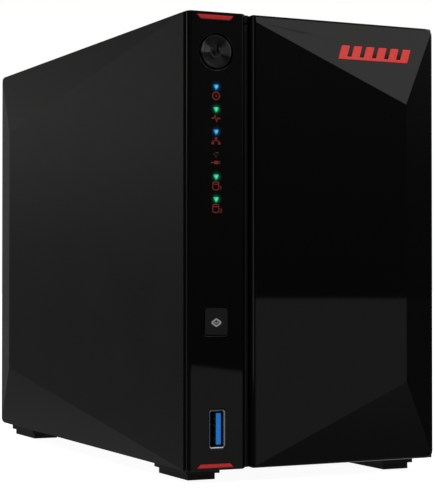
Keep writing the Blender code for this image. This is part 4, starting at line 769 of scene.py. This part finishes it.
def make_power_button():
    """A turned button: a rolled rim, a dish with fine steps, a flange, a stem and a power sign."""
    low, high, centre = mm_box("power_button")
    x, z, front = centre.x, centre.z, low.y
    flange_r, flange_y = (high.x - low.x) / 2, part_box("control_panel")[1].y / MM
    radius = flange_r - 0.8
    rim, stem_r, hub_r, dish = radius - 0.5, 2.6, 0.9, 0.6
    profile = [(0, front + dish + 0.02), (hub_r, front + dish)]
    for i in range(1, 12):
        share = i / 12
        step = 0.0 if i % 3 else 0.03
        profile.append((hub_r + (rim - hub_r - 0.5) * share, front + dish - 0.36 * share * share + step))
    profile += [
        (rim - 0.45, front + 0.22), (rim - 0.25, front + 0.06), (rim, front), (rim + 0.28, front + 0.07),
        (radius, front + 0.42), (radius, flange_y + 0.1), (flange_r, flange_y + 0.1),
        (flange_r, flange_y + 1.3), (stem_r, flange_y + 1.3), (stem_r, high.y), (0, high.y),
    ]
    body = "power_button_body"
    cap = add_turned(solid(), profile, (x, 0, z), "Y", 128)
    piece("power_button_cap", cap, BUTTON, body=body, stands_for="power_button")
    sign = add_ribbon(solid(), arc((x, z), 1.85, 128, 412, 30), 0.7, front + 0.47, front + 0.7)
    add_ribbon(sign, [(x, z + 0.2), (x, z + 2.5)], 0.5, front + 0.44, front + 0.7)
    piece("power_button_sign", sign, SIGN_DIM, 0.05, body=body)


def make_copy_sign():
    """A rounded diamond around a shallow chevron."""
    low, _, centre = mm_box("copy_button")
    x, z = centre.x, centre.z - 0.3
    span = (low.y - 0.015, low.y + 0.1)
    diamond = []
    for turn, (u, v) in zip((0, 90, 180, 270), ((1.15, 0), (0, 0.75), (-1.15, 0), (0, -0.75))):
        diamond += arc((x + u, z + v), 0.42, turn - 38, turn + 38, 5)
    bm = add_ribbon(solid(), diamond + diamond[:1], 0.62, *span)
    add_ribbon(bm, [(x - 0.75, z + 0.12), (x, z - 0.2), (x + 0.75, z + 0.12)], 0.36, *span)
    piece("copy_button_sign", bm, SIGN_PALE, body="copy_button_body")


# ---------- sockets


def make_usb_details(name, mouth_way):
    """Four long and five short contacts on the tongue, two springs on each wide wall, and a curled lip.

    mouth_way is the sign of the direction along Y that the mouth faces."""
    low, high, centre = mm_box(f"{name}_tongue")
    tip, inward = (low.y if mouth_way < 0 else high.y), -mouth_way
    shell_low, shell_high, shell_middle = mm_box(f"{name}_shell")
    mouth = shell_low.y if mouth_way < 0 else shell_high.y
    face = shell_middle.x + 0.1  # the side of the tongue that carries the contacts
    long_row, short_row = (4, 2.3, 1.4, 7.4, 0.5, 0.09), (5, 2.0, 7.9, 9.6, 0.32, 0.14)
    bm = solid()
    for count, pitch, start, end, half, proud in (long_row, short_row):
        near, far = sorted((tip + inward * start, tip + inward * end))
        for i in range(count):
            z = centre.z + (i - (count - 1) / 2) * pitch
            add_box(bm, (face - proud, near, z - half), (face + 0.05, far, z + half))
    piece(f"{name}_contacts", bm, GOLD, 0.05, 1)
    arch = [(0.0, 2.0), (0.28, 3.4), (0.42, 4.6), (0.34, 5.6), (0.0, 6.8)]
    thick = 0.14
    bm = solid()
    for side, wall in ((1, shell_low.x + 0.28), (-1, shell_high.x - 0.28)):
        outline = [(wall + side * d, mouth + inward * y) for d, y in arch]
        outline += [(wall + side * (d - thick), mouth + inward * y) for d, y in arch[::-1]]
        for z in (centre.z - 2.9, centre.z + 2.9):
            add_prism(bm, outline, z - 0.9, z + 0.9, "Z")
    piece(f"{name}_springs", bm, SHELL)
    piece(f"{name}_lip", curled_lip(shell_low, shell_high, mouth, inward), LIP)


def curled_lip(low, high, mouth, inward):
    """A ring at a socket's mouth that curls outwards from inside the shell to just past its sides."""
    inner, outer, back, front = -0.36, 0.14, 0.15, -0.3
    curl = arc((1, 0), 1, 180, 90, 6)
    section = [(inner + (outer - inner) * u, back + (front - back) * v) for u, v in curl]
    section += [(outer, front + 0.12), (outer - 0.12, front + 0.16), (inner + 0.04, back)]
    rows = []
    for grow, depth in section:
        outline = rounded((low.x - grow, low.z - grow), (high.x + grow, high.z + grow), 0.75 + grow)
        rows.append([(x, mouth + inward * depth, z) for x, z in outline])
    bm = solid()
    loft(bm, rows, loop=True)
    return bm


def make_network_details():
    """Eight bright wires in the jack's mouth, a lamp above and below it, and a lip around it."""
    low, high, centre = mm_box("network_jack")
    x, y, z = low.x, high.y, centre.z
    wire = ((3.3, 11.5), (3.5, 8.0), (6.0, 3.6), (6.4, 3.3))
    bm = solid()
    for i in range(8):
        at = z + (i - 3.5) * 1.02
        add_tube(bm, [(x + across, y - deep, at) for across, deep in wire], 0.2, 8)
    piece("network_jack_contacts", bm, GOLD)
    for name, at, glass in (("green", z + 6.9, LAMP_GREEN), ("amber", z - 6.9, LAMP_AMBER)):
        outline = rounded((x + 8.0, at - 0.75), (x + 11.6, at + 0.75), 0.3, 3)
        lamp = add_prism(solid(), outline, y - 0.6, y + 0.12, "Y")
        piece(f"network_lamp_{name}", lamp, glass, 0.08)
    ring = rounded((x + 2.9, z - 6.3), (x + 10.7, z + 6.3), 0.5, 3)[::-1]
    lip = add_ribbon(solid(), ring + ring[:1], 0.4, y - 0.2, y + 0.1)
    piece("network_jack_lip", lip, SOCKET)


def make_power_jack_sleeve():
    """A bright sleeve in the jack's bore and a bright tip on its pin."""
    low, high, centre = mm_box("power_jack")
    x, z = low.x + 4.5, centre.z
    sleeve = add_ribbon(solid(), arc((x, z), 3.0, 0, 360, 40), 0.3, high.y - 8.5, high.y + 0.12)
    piece("power_jack_sleeve", sleeve, SHELL, 0.06, 1)
    profile = [(0, -3.6), (1.08, -3.6), (1.08, -1.55), (0.85, -1.25), (0.4, -1.1), (0, -1.1)]
    piece("power_jack_tip", add_turned(solid(), profile, (x, high.y, z), "Y", 24), SHELL)


# ---------- screws


def make_painted_recess_shade(name, x, seat, z, reach, width, low, high, body="chassis"):
    """Painted shade of a cross recess: its two bars as a thin dark inlay, from low to high above the seat, in
    place of a hollow.
    """
    quarter = [(-width, -reach), (width, -reach), (width, -width)]
    outline = []
    for _ in range(4):
        outline += [(x + u, z + v) for u, v in quarter]
        quarter = [(-v, u) for u, v in quarter]
    cross = add_prism(solid(), outline, seat + low, seat + high, "Y")
    # the dark inlay is painted shade where the recess would be hollow
    piece(f"{name}_recess", cross, SOCKET, body=body)


def make_fan_screws():
    """Pan-head screws with a cross recess shown as painted shade."""
    head, tall, shank = 2.85, 1.45, 1.55
    for node in (f"fan_screw_{row}_{column}" for row in ("upper", "lower") for column in ("left", "right")):
        low, high, centre = mm_box(node)
        seat = high.y - 1.5
        long = seat - low.y
        profile = [
            (0, 0.45 * tall), (head * 0.12, 0.45 * tall), (head * 0.36, tall), (head * 0.72, tall * 0.96),
            (head * 0.92, tall * 0.7), (head, tall * 0.35), (head, 0), (shank, 0), (shank, 0.5 - long),
            (shank * 0.6, -long), (0, -long),
        ]
        screw = add_turned(solid(), profile, (centre.x, seat, centre.z), "Y", 32)
        piece(f"{node}_turned", screw, SCREW, stands_for=node)
        make_painted_recess_shade(node, centre.x, seat, centre.z, 1.5, 0.27, 1.2, 1.47)


def make_thumb_screws():
    """Knurled thumb screws: a fluted rim, a turned shoulder and a cross recess shown as painted shade."""
    teeth, outer, tall = 30, 2.9, 3.6
    for node in ("thumb_screw_left", "thumb_screw_right"):
        low, high, centre = mm_box(node)
        x, z, seat = centre.x, centre.z, high.y - tall
        tip = low.y - seat
        outline = []
        for i in range(teeth * 4):
            turn = 2 * math.pi * i / (teeth * 4)
            reach = outer if i % 4 in (1, 2) else outer - 0.22
            outline.append((x + reach * math.cos(turn), z + reach * math.sin(turn)))
        knurl = add_prism(solid(), outline, seat + 0.6, high.y - 0.7, "Y")
        piece(f"{node}_knurl", knurl, SCREW, body="cover")
        profile = [
            (0, tip), (0.9, tip), (1.4, tip + 0.6), (1.4, 0), (outer - 0.15, 0), (outer - 0.05, 0.15),
            (outer - 0.3, 0.62), (outer - 0.32, 2.85), (outer - 0.15, 3.0), (outer - 0.2, 3.35),
            (outer - 0.55, tall), (1.0, tall), (0.3, 3.0), (0, 3.0),
        ]
        screw = add_turned(solid(), profile, (x, seat, z), "Y", 48)
        piece(f"{node}_turned", screw, SCREW, body="cover", stands_for=node)
        make_painted_recess_shade(node, x, seat, z, 1.7, 0.28, 3.35, 3.615, "cover")


# ---------- feet

GROOVES, GROOVE_DEEP, GROOVE_START, GROOVE_END = 3, 0.7, 1.8, 2.2  # a groove deepens from start to end


def make_foot_pads():
    """Rubber pads with three long grooves underneath that stop short of the ends."""
    for node in (f"foot_pad_{end}_{side}" for end in ("front", "rear") for side in ("left", "right")):
        low, high, _ = mm_box(node)
        sections = [(low.y, 0), (low.y + GROOVE_START, 0), (low.y + GROOVE_END, GROOVE_DEEP)]
        sections += [(high.y - GROOVE_END, GROOVE_DEEP), (high.y - GROOVE_START, 0), (high.y, 0)]
        rows = []
        for y, deep in sections:
            row = [(low.x, high.z), (low.x, low.z)]
            for i in range(1, GROOVES + 1):
                x = low.x + (high.x - low.x) * i / (GROOVES + 1)
                row += [(x + u, low.z + v) for u, v in ((-0.5, 0), (-0.3, deep), (0.3, deep), (0.5, 0))]
            row += [(high.x, low.z), (high.x, high.z)]
            rows.append([(x, y, z) for x, z in row])
        pad = solid()
        loft(pad, rows)
        piece(f"{node}_grooved", pad, RUBBER, 0.2, stands_for=node)


# ---------- inside: board parts, drives, fan

CAPACITORS = (  # y, z, radius and height
    (-80, 128, 3.2, 9), (-72, 128, 3.2, 9), (-80, 118, 3.2, 9), (40, 130, 4, 10.5), (52, 130, 4, 10.5),
    (80, 54, 2.6, 7), (-40, 138, 3.2, 9), (58, 30, 4, 10.5), (68, 24, 2.6, 7),
)
COILS = ((-66, 84), (-66, 72), (-28, 44), (44, 54), (-80, 96))
CHIPS = (  # y and z of the low and high corners, and height
    (34, 66, 46, 78, 1.0), (-46, 64, -36, 78, 1.0), (-46, 84, -38, 92, 0.9), (74, 80, 82, 86, 1.0),
    (50, 96, 56, 106, 0.9), (-8, 116, 4, 124, 1.0), (20, 116, 26, 122, 0.8), (-54, 24, -44, 32, 0.9),
    (10, 36, 22, 48, 1.1), (80, 112, 86, 118, 0.9),
)
BOARD_SCREWS = [(y, z) for y in (-88, 0, 92) for z in (22, 84, 146) if (y, z) != (0, 84)]
BLOCKS = (  # the heat sink, a group of cans, the CAD's headers and the rear sockets: low and high y and z
    (-6, 62, 36, 106), (-86, 112, -66, 134), (-26, 60, -10, 96), (66, 38, 79, 51), (-62, 98, -46, 114),
    (68, 128, 80, 144), (84, 128, 96, 142), (57, 58, 69, 112), (80, 78, 98, 90), (83, 18, 100, 118),
)


def taken_places():
    """Where small parts don't go: y and z of the low and high corners, with room around each."""
    nodes = [mm_box(node) for node in ("clock_battery", "buzzer")]
    groups = (
        (1.5, BLOCKS),
        (3.5, [chip[:4] for chip in CHIPS] + [(low.y, low.z, high.y, high.z) for low, high, _ in nodes]),
        (7.5, [(y, z, y, z) for y, z, *_ in (*CAPACITORS, *COILS, *BOARD_SCREWS)]),
    )
    taken = []
    for room, boxes in groups:
        taken += [(y0 - room, z0 - room, y1 + room, z1 + room) for y0, z0, y1, z1 in boxes]
    return taken


def scattered(count, seed=7):
    """Pairs of whole numbers from a linear congruential generator, the same in each run."""
    state = seed
    for _ in range(count):
        pair = []
        for _ in range(2):
            state = (state * 1103515245 + 12345) % 2147483648
            pair.append(state)
        yield pair


def make_board_parts():
    """What is soldered to the main board: cans, coils, chips and small parts. Then the screws that fix it."""
    face = BOARD_FACE_X
    bm = solid()
    for y, z, r, tall in CAPACITORS:
        profile = [(0, 0), (r * 0.9, 0), (r, 0.2), (r, 0.9), (r * 0.93, 1.2), (r, 1.5), (r, tall - 0.4)]
        profile += [(r * 0.9, tall), (r * 0.6, tall), (r * 0.55, tall - 0.15), (0, tall - 0.15)]
        add_turned(bm, profile, (face, y, z), "X", 28)
    piece("board_capacitors", bm, CAN)
    bm = solid()
    for y, z in COILS:
        add_prism(bm, rounded((y - 3.6, z - 3.6), (y + 3.6, z + 3.6), 1.0, 2), face, face + 3.4, "X")
    piece("board_coils", bm, COIL, 0.3)
    bm = solid()
    for y0, z0, y1, z1, tall in CHIPS:
        add_box(bm, (face, y0, z0), (face + tall, y1, z1))
    piece("board_chips", bm, CHIP, 0.15)
    taken = taken_places()
    bm = solid()
    for first, second in scattered(90):
        y, z = -90 + 184 * (first % 997) / 997, 16 + 132 * (second % 991) / 991
        if not any(y0 < y < y1 and z0 < z < z1 for y0, z0, y1, z1 in taken):
            add_box(bm, (face, y - 0.8, z - 0.45), (face + 0.55, y + 0.8, z + 0.45))
    piece("board_small_parts", bm, CERAMIC, 0.08, 1)
    bm = solid()
    for y, z in BOARD_SCREWS:
        profile = [(0, 0.8), (0.4, 0.8), (1.0, 1.5), (2.2, 1.3), (2.6, 0.6), (2.6, 0), (0, 0)]
        add_turned(bm, profile, (face, y, z), "X", 24)
    piece("board_screws", bm, SCREW)


def make_heat_sink_pins():
    """Two sprung pins that hold the heat sink to the board."""
    low, high, _ = mm_box("heat_sink")
    base = low.x + 2.2
    eighths = [(0.55 * i / 8, i * 0.785) for i in range(41)]  # of five coils: distance along, and turn
    bm = solid()
    for y, z in ((low.y + 4, low.z + 2.3), (high.y - 4, high.z - 2.9)):
        coil = [(base + 0.5 + along, y + 1.3 * math.cos(t), z + 0.9 * math.sin(t)) for along, t in eighths]
        add_tube(bm, coil, 0.22, 6)
        add_rod(bm, (base + 3.4, y, z), 1.6, 0.7, "X", 20)
    piece("heat_sink_pins", bm, SCREW)


def make_battery_face():
    """A pressed ring on the coin cell."""
    _, high, centre = mm_box("clock_battery")
    profile = [(0, 0), (8.8, 0), (8.8, 0.16), (8.4, 0.22), (7.9, 0.12), (0, 0.12)]
    face = add_turned(solid(), profile, (high.x - 0.02, centre.y, centre.z), "X", 48)
    piece("clock_battery_face", face, SHELL)


def make_drive_details(number):
    """On a drive: six screws and a plain pale label, and its board with chips on the other side."""
    low, high, _ = mm_box(f"hard_drive_{number}")
    body = f"tray_{number}"
    bm = solid()
    for y in (low.y + 7.5, low.y + 62, low.y + 122):
        for z in (low.z + 7.5, high.z - 7.5):
            profile = [(0, 0.35), (0.9, 0.35), (1.1, 0.75), (1.9, 0.7), (2.3, 0.35), (2.3, -0.1), (0, -0.1)]
            add_turned(bm, profile, (high.x, y, z), "X", 24)
    piece(f"drive_{number}_screws", bm, SCREW, body=body)
    outline = rounded((low.y + 20, low.z + 14), (low.y + 108, high.z - 14), 2.5, 4)
    label = add_prism(solid(), outline, high.x - 0.02, high.x + 0.12, "X")
    piece(f"drive_{number}_label", label, PAPER, body=body)
    outline = rounded((low.y + 52, low.z + 6.5), (high.y - 7.5, high.z - 6.5), 2, 3)
    board = add_prism(solid(), outline, low.x + 0.3, low.x + 1.35, "X")
    piece(f"drive_{number}_board", board, BOARD_UPRIGHT, 0.05, 1, body=body)
    bm = solid()
    for y0, z0, y1, z1 in ((72, 60, 86, 74), (96, 66, 108, 74), (66, 26, 74, 34)):
        add_box(bm, (low.x + 0.02, low.y + y0, low.z + z0), (low.x + 0.32, low.y + y1, low.z + z1))
    piece(f"drive_{number}_chips", bm, CHIP, 0.06, 1, body=body)


def make_handle_details(number):
    """Finger ribs on a tray's handle, and the tray's number."""
    low, high, centre = mm_box(f"tray_{number}_handle")
    x, front, body = centre.x, low.y, f"handle_{number}"
    bm = solid()
    for i in range(5):
        z = high.z - 2.6 - 1.7 * i
        rib = rounded((x - 5.2, z - 0.35), (x + 5.2, z + 0.35), 0.3, 2)
        add_prism(bm, rib, front - 0.25, front + 0.3, "Y")
    piece(f"tray_{number}_grip", bm, TRAY, 0.1, 1, body=body)
    one = [(-0.8, 1.3), (0.2, 2.1), (0.2, -2.1)]
    two = arc((0, 0.95), 1.15, 165, -25, 8) + [(-1.15, -2.1), (1.25, -2.1)]
    digit = [(x + u, 48.0 + v) for u, v in (one, two)[number - 1]]
    raised = add_ribbon(solid(), digit, 0.6, front - 0.12, front + 0.2)
    piece(f"tray_{number}_number", raised, SIGN_PALE, body=body)


def make_fan_details():
    """A blank hub sticker seen through the grille, and three twisted wires in place of a plain cable."""
    low, high, centre = mm_box("fan_frame")
    profile = [(0, 0), (11.4, 0), (11.4, 0.12), (11.2, 0.14), (8.2, 0.14)]
    profile += [(8.1, 0.1), (7.8, 0.1), (7.7, 0.14), (0, 0.14)]
    sticker = add_turned(solid(), profile, (centre.x, high.y, centre.z), "Y", 64)
    piece("fan_hub_sticker", sticker, STICKER)
    start = Vector((mm_box("fan_cable")[1].x, low.y + 10.0, centre.z + 26))
    header = Vector((BOARD_FACE_X + 6.3, 74.0, 136.0))
    route = [start + Vector(v) for v in ((0, 0, 0), (-2.4, -0.5, 0.6), (-4.2, -3.0, 3.0), (-4.6, -9.0, 9.0))]
    route += [header + Vector(v) for v in ((5.4, 4.0, -4.0), (3.0, 0.8, -0.6), (0, 0, 0))]
    path = smooth_path(route, 8)
    for (name, material), phase in zip(WIRES.items(), (0.0, 2.094, 4.189)):
        twisted = []
        for i, place in enumerate(path):
            ahead = (path[min(i + 1, len(path) - 1)] - path[max(i - 1, 0)]).normalized()
            side = ahead.cross(Vector((0, 0, 1))).normalized()
            turn = phase + i * 0.32
            twisted.append(place + 0.52 * (math.cos(turn) * side + math.sin(turn) * side.cross(ahead)))
        wire = add_tube(solid(), twisted, 0.42)
        stands_for = "fan_cable" if name == "black" else None
        piece(f"fan_wire_{name}", wire, material, stands_for=stands_for)


make_light_pipe()
make_signs()
make_power_button()
make_copy_sign()
for socket_name, facing in (("front_usb", -1), ("rear_usb_upper", 1), ("rear_usb_lower", 1)):
    make_usb_details(socket_name, facing)
make_network_details()
make_power_jack_sleeve()
make_fan_screws()
make_thumb_screws()
make_foot_pads()
make_board_parts()
make_heat_sink_pins()
make_battery_face()
for bay in (1, 2):
    make_drive_details(bay)
    make_handle_details(bay)
make_fan_details()


# ---------- floor, surroundings and camera


def stage_floor():
    """A pale floor. The object's own reflections see past it, to the surroundings below."""
    bm = bmesh.new()
    bmesh.ops.create_grid(bm, x_segments=2, y_segments=2, size=6.0)
    mesh = bpy.data.meshes.new("stage_floor")
    bm.to_mesh(mesh)
    bm.free()
    floor = bpy.data.objects.new("stage_floor", mesh)
    bpy.context.scene.collection.objects.link(floor)
    material, s = new_material("stage_floor")
    white = s.node("ShaderNodeEmission", {"Color": (1.0, 1.0, 1.0), "Strength": 0.95}).outputs[0]
    paper = s.node("ShaderNodeBsdfDiffuse", {"Color": (0.35, 0.35, 0.35)}).outputs[0]
    seen = s.node("ShaderNodeAddShader", {0: white, 1: paper}).outputs[0]
    past = s.node("ShaderNodeBsdfTransparent").outputs[0]
    by_camera = s.node("ShaderNodeLightPath").outputs["Is Camera Ray"]
    chosen = s.node("ShaderNodeMixShader", {0: by_camera, 1: past, 2: seen})
    s.node("ShaderNodeOutputMaterial", {0: chosen.outputs[0]})
    mesh.materials.append(material)


SOFTBOXES = (
    # azimuth from, to, softness; elevation from, to, softness; brightness. Azimuth 0 is the front, + is right
    (27.0, 44.0, 0.8, 11.5, 60.0, 2.5, 0.72),
    (8.0, 60.0, 6.0, 6.0, 60.0, 8.0, 0.045),
    (-106.0, -92.0, 4.0, -16.0, 30.0, 6.0, 0.2),
    (-106.0, -92.0, 4.0, 7.0, 30.0, 3.0, 1.2),
    (-62.0, -54.0, 1.5, -3.6, 40.0, 0.5, 0.55),
    (80.0, 110.0, 8.0, 60.0, 75.0, 4.0, 2.5),
    (60.0, 110.0, 8.0, 10.0, 50.0, 8.0, 0.9),
    (-171.0, -140.0, 6.0, -13.0, -8.5, 2.0, 0.18),
    (-171.0, -140.0, 6.0, 3.0, 9.0, 2.0, 0.15),
    (-171.0, -140.0, 6.0, 9.0, 60.0, 2.0, 0.052),
    (-125.0, -15.0, 10.0, -60.0, -15.0, 4.0, 0.32),
    (55.0, 165.0, 10.0, -60.0, -13.0, 4.0, 0.32),
    (-184.0, -175.0, 4.0, -45.0, 12.0, 4.0, 0.19),
    (170.0, 184.0, 6.0, -45.0, 12.0, 4.0, 0.19),
    (124.0, 142.0, 5.0, -30.0, 50.0, 10.0, 0.9),
    (-134.0, -118.0, 4.0, -30.0, 50.0, 10.0, 0.5),
)


def surroundings():
    """A white room to the camera. Reflections see a dark studio with soft boxes and a grey floor."""
    world = bpy.data.worlds.new("studio")
    bpy.context.scene.world = world
    world.use_nodes = True
    s = Shader(world.node_tree)
    x, y, z = s.axes(s.node("ShaderNodeTexCoord").outputs["Generated"])
    azimuth = s.math("MULTIPLY", s.math("ARCTAN2", x, s.math("MULTIPLY", y, -1.0)), 180.0 / math.pi)
    elevation = s.math("MULTIPLY", s.math("ARCSINE", z), 180.0 / math.pi)
    total = s.step(elevation, 48.0, 75.0, 0.03, 1.3)  # the ceiling
    for a0, a1, a_soft, e0, e1, e_soft, level in SOFTBOXES:
        box = s.math("MULTIPLY", s.band(azimuth, a0, a1, a_soft), s.band(elevation, e0, e1, e_soft))
        total = s.math("MULTIPLY_ADD", box, level, total)
    below = s.step(elevation, -0.82, -0.7, 1.0, 0.0)
    near = s.step(elevation, -14.5, -7.5, 0.3, 1.0)
    ahead = s.math("MULTIPLY_ADD", s.band(azimuth, -38.0, 42.0, 8.0), 0.178, 0.012)
    floor = s.math("MULTIPLY", s.math("MULTIPLY", below, near), ahead)
    light = {"Color": (1.0, 0.99, 0.97), "Strength": s.math("ADD", total, floor)}
    studio = s.node("ShaderNodeBackground", light).outputs[0]
    white = s.node("ShaderNodeBackground", {"Color": (1.0, 1.0, 1.0), "Strength": 1.0}).outputs[0]
    by_camera = s.node("ShaderNodeLightPath").outputs["Is Camera Ray"]
    chosen = s.node("ShaderNodeMixShader", {0: by_camera, 1: studio, 2: white})
    s.node("ShaderNodeOutputWorld", {0: chosen.outputs[0]})


def camera():
    """The camera stands low and to the left of the front, and looks slightly up."""
    data = bpy.data.cameras.new("camera")
    data.lens = 121.0
    data.sensor_width = 36.0
    data.clip_start, data.clip_end = 0.05, 20.0
    obj = bpy.data.objects.new("camera", data)
    yaw, pitch = math.radians(24.96), math.radians(0.99)
    ahead = Vector((math.sin(yaw) * math.cos(pitch), math.cos(yaw) * math.cos(pitch), math.sin(pitch)))
    obj.location = (-0.2847, -0.6365, 0.0723)
    obj.rotation_euler = ahead.to_track_quat("-Z", "Y").to_euler()
    bpy.context.scene.collection.objects.link(obj)
    bpy.context.scene.camera = obj


def overhead_light():
    """A weak soft light straight above, which lifts the shading but isn't seen in reflections."""
    data = bpy.data.lights.new("overhead", "AREA")
    data.shape = "RECTANGLE"
    data.size = data.size_y = 1.2
    data.energy = 6.0
    obj = bpy.data.objects.new("overhead", data)
    obj.location = (0.0, 0.0, 1.4)
    obj.visible_glossy = False
    bpy.context.scene.collection.objects.link(obj)


stage_floor()
surroundings()
camera()
overhead_light()
bpy.context.scene.view_settings.view_transform = "Standard"
bpy.context.scene.view_settings.look = "None"
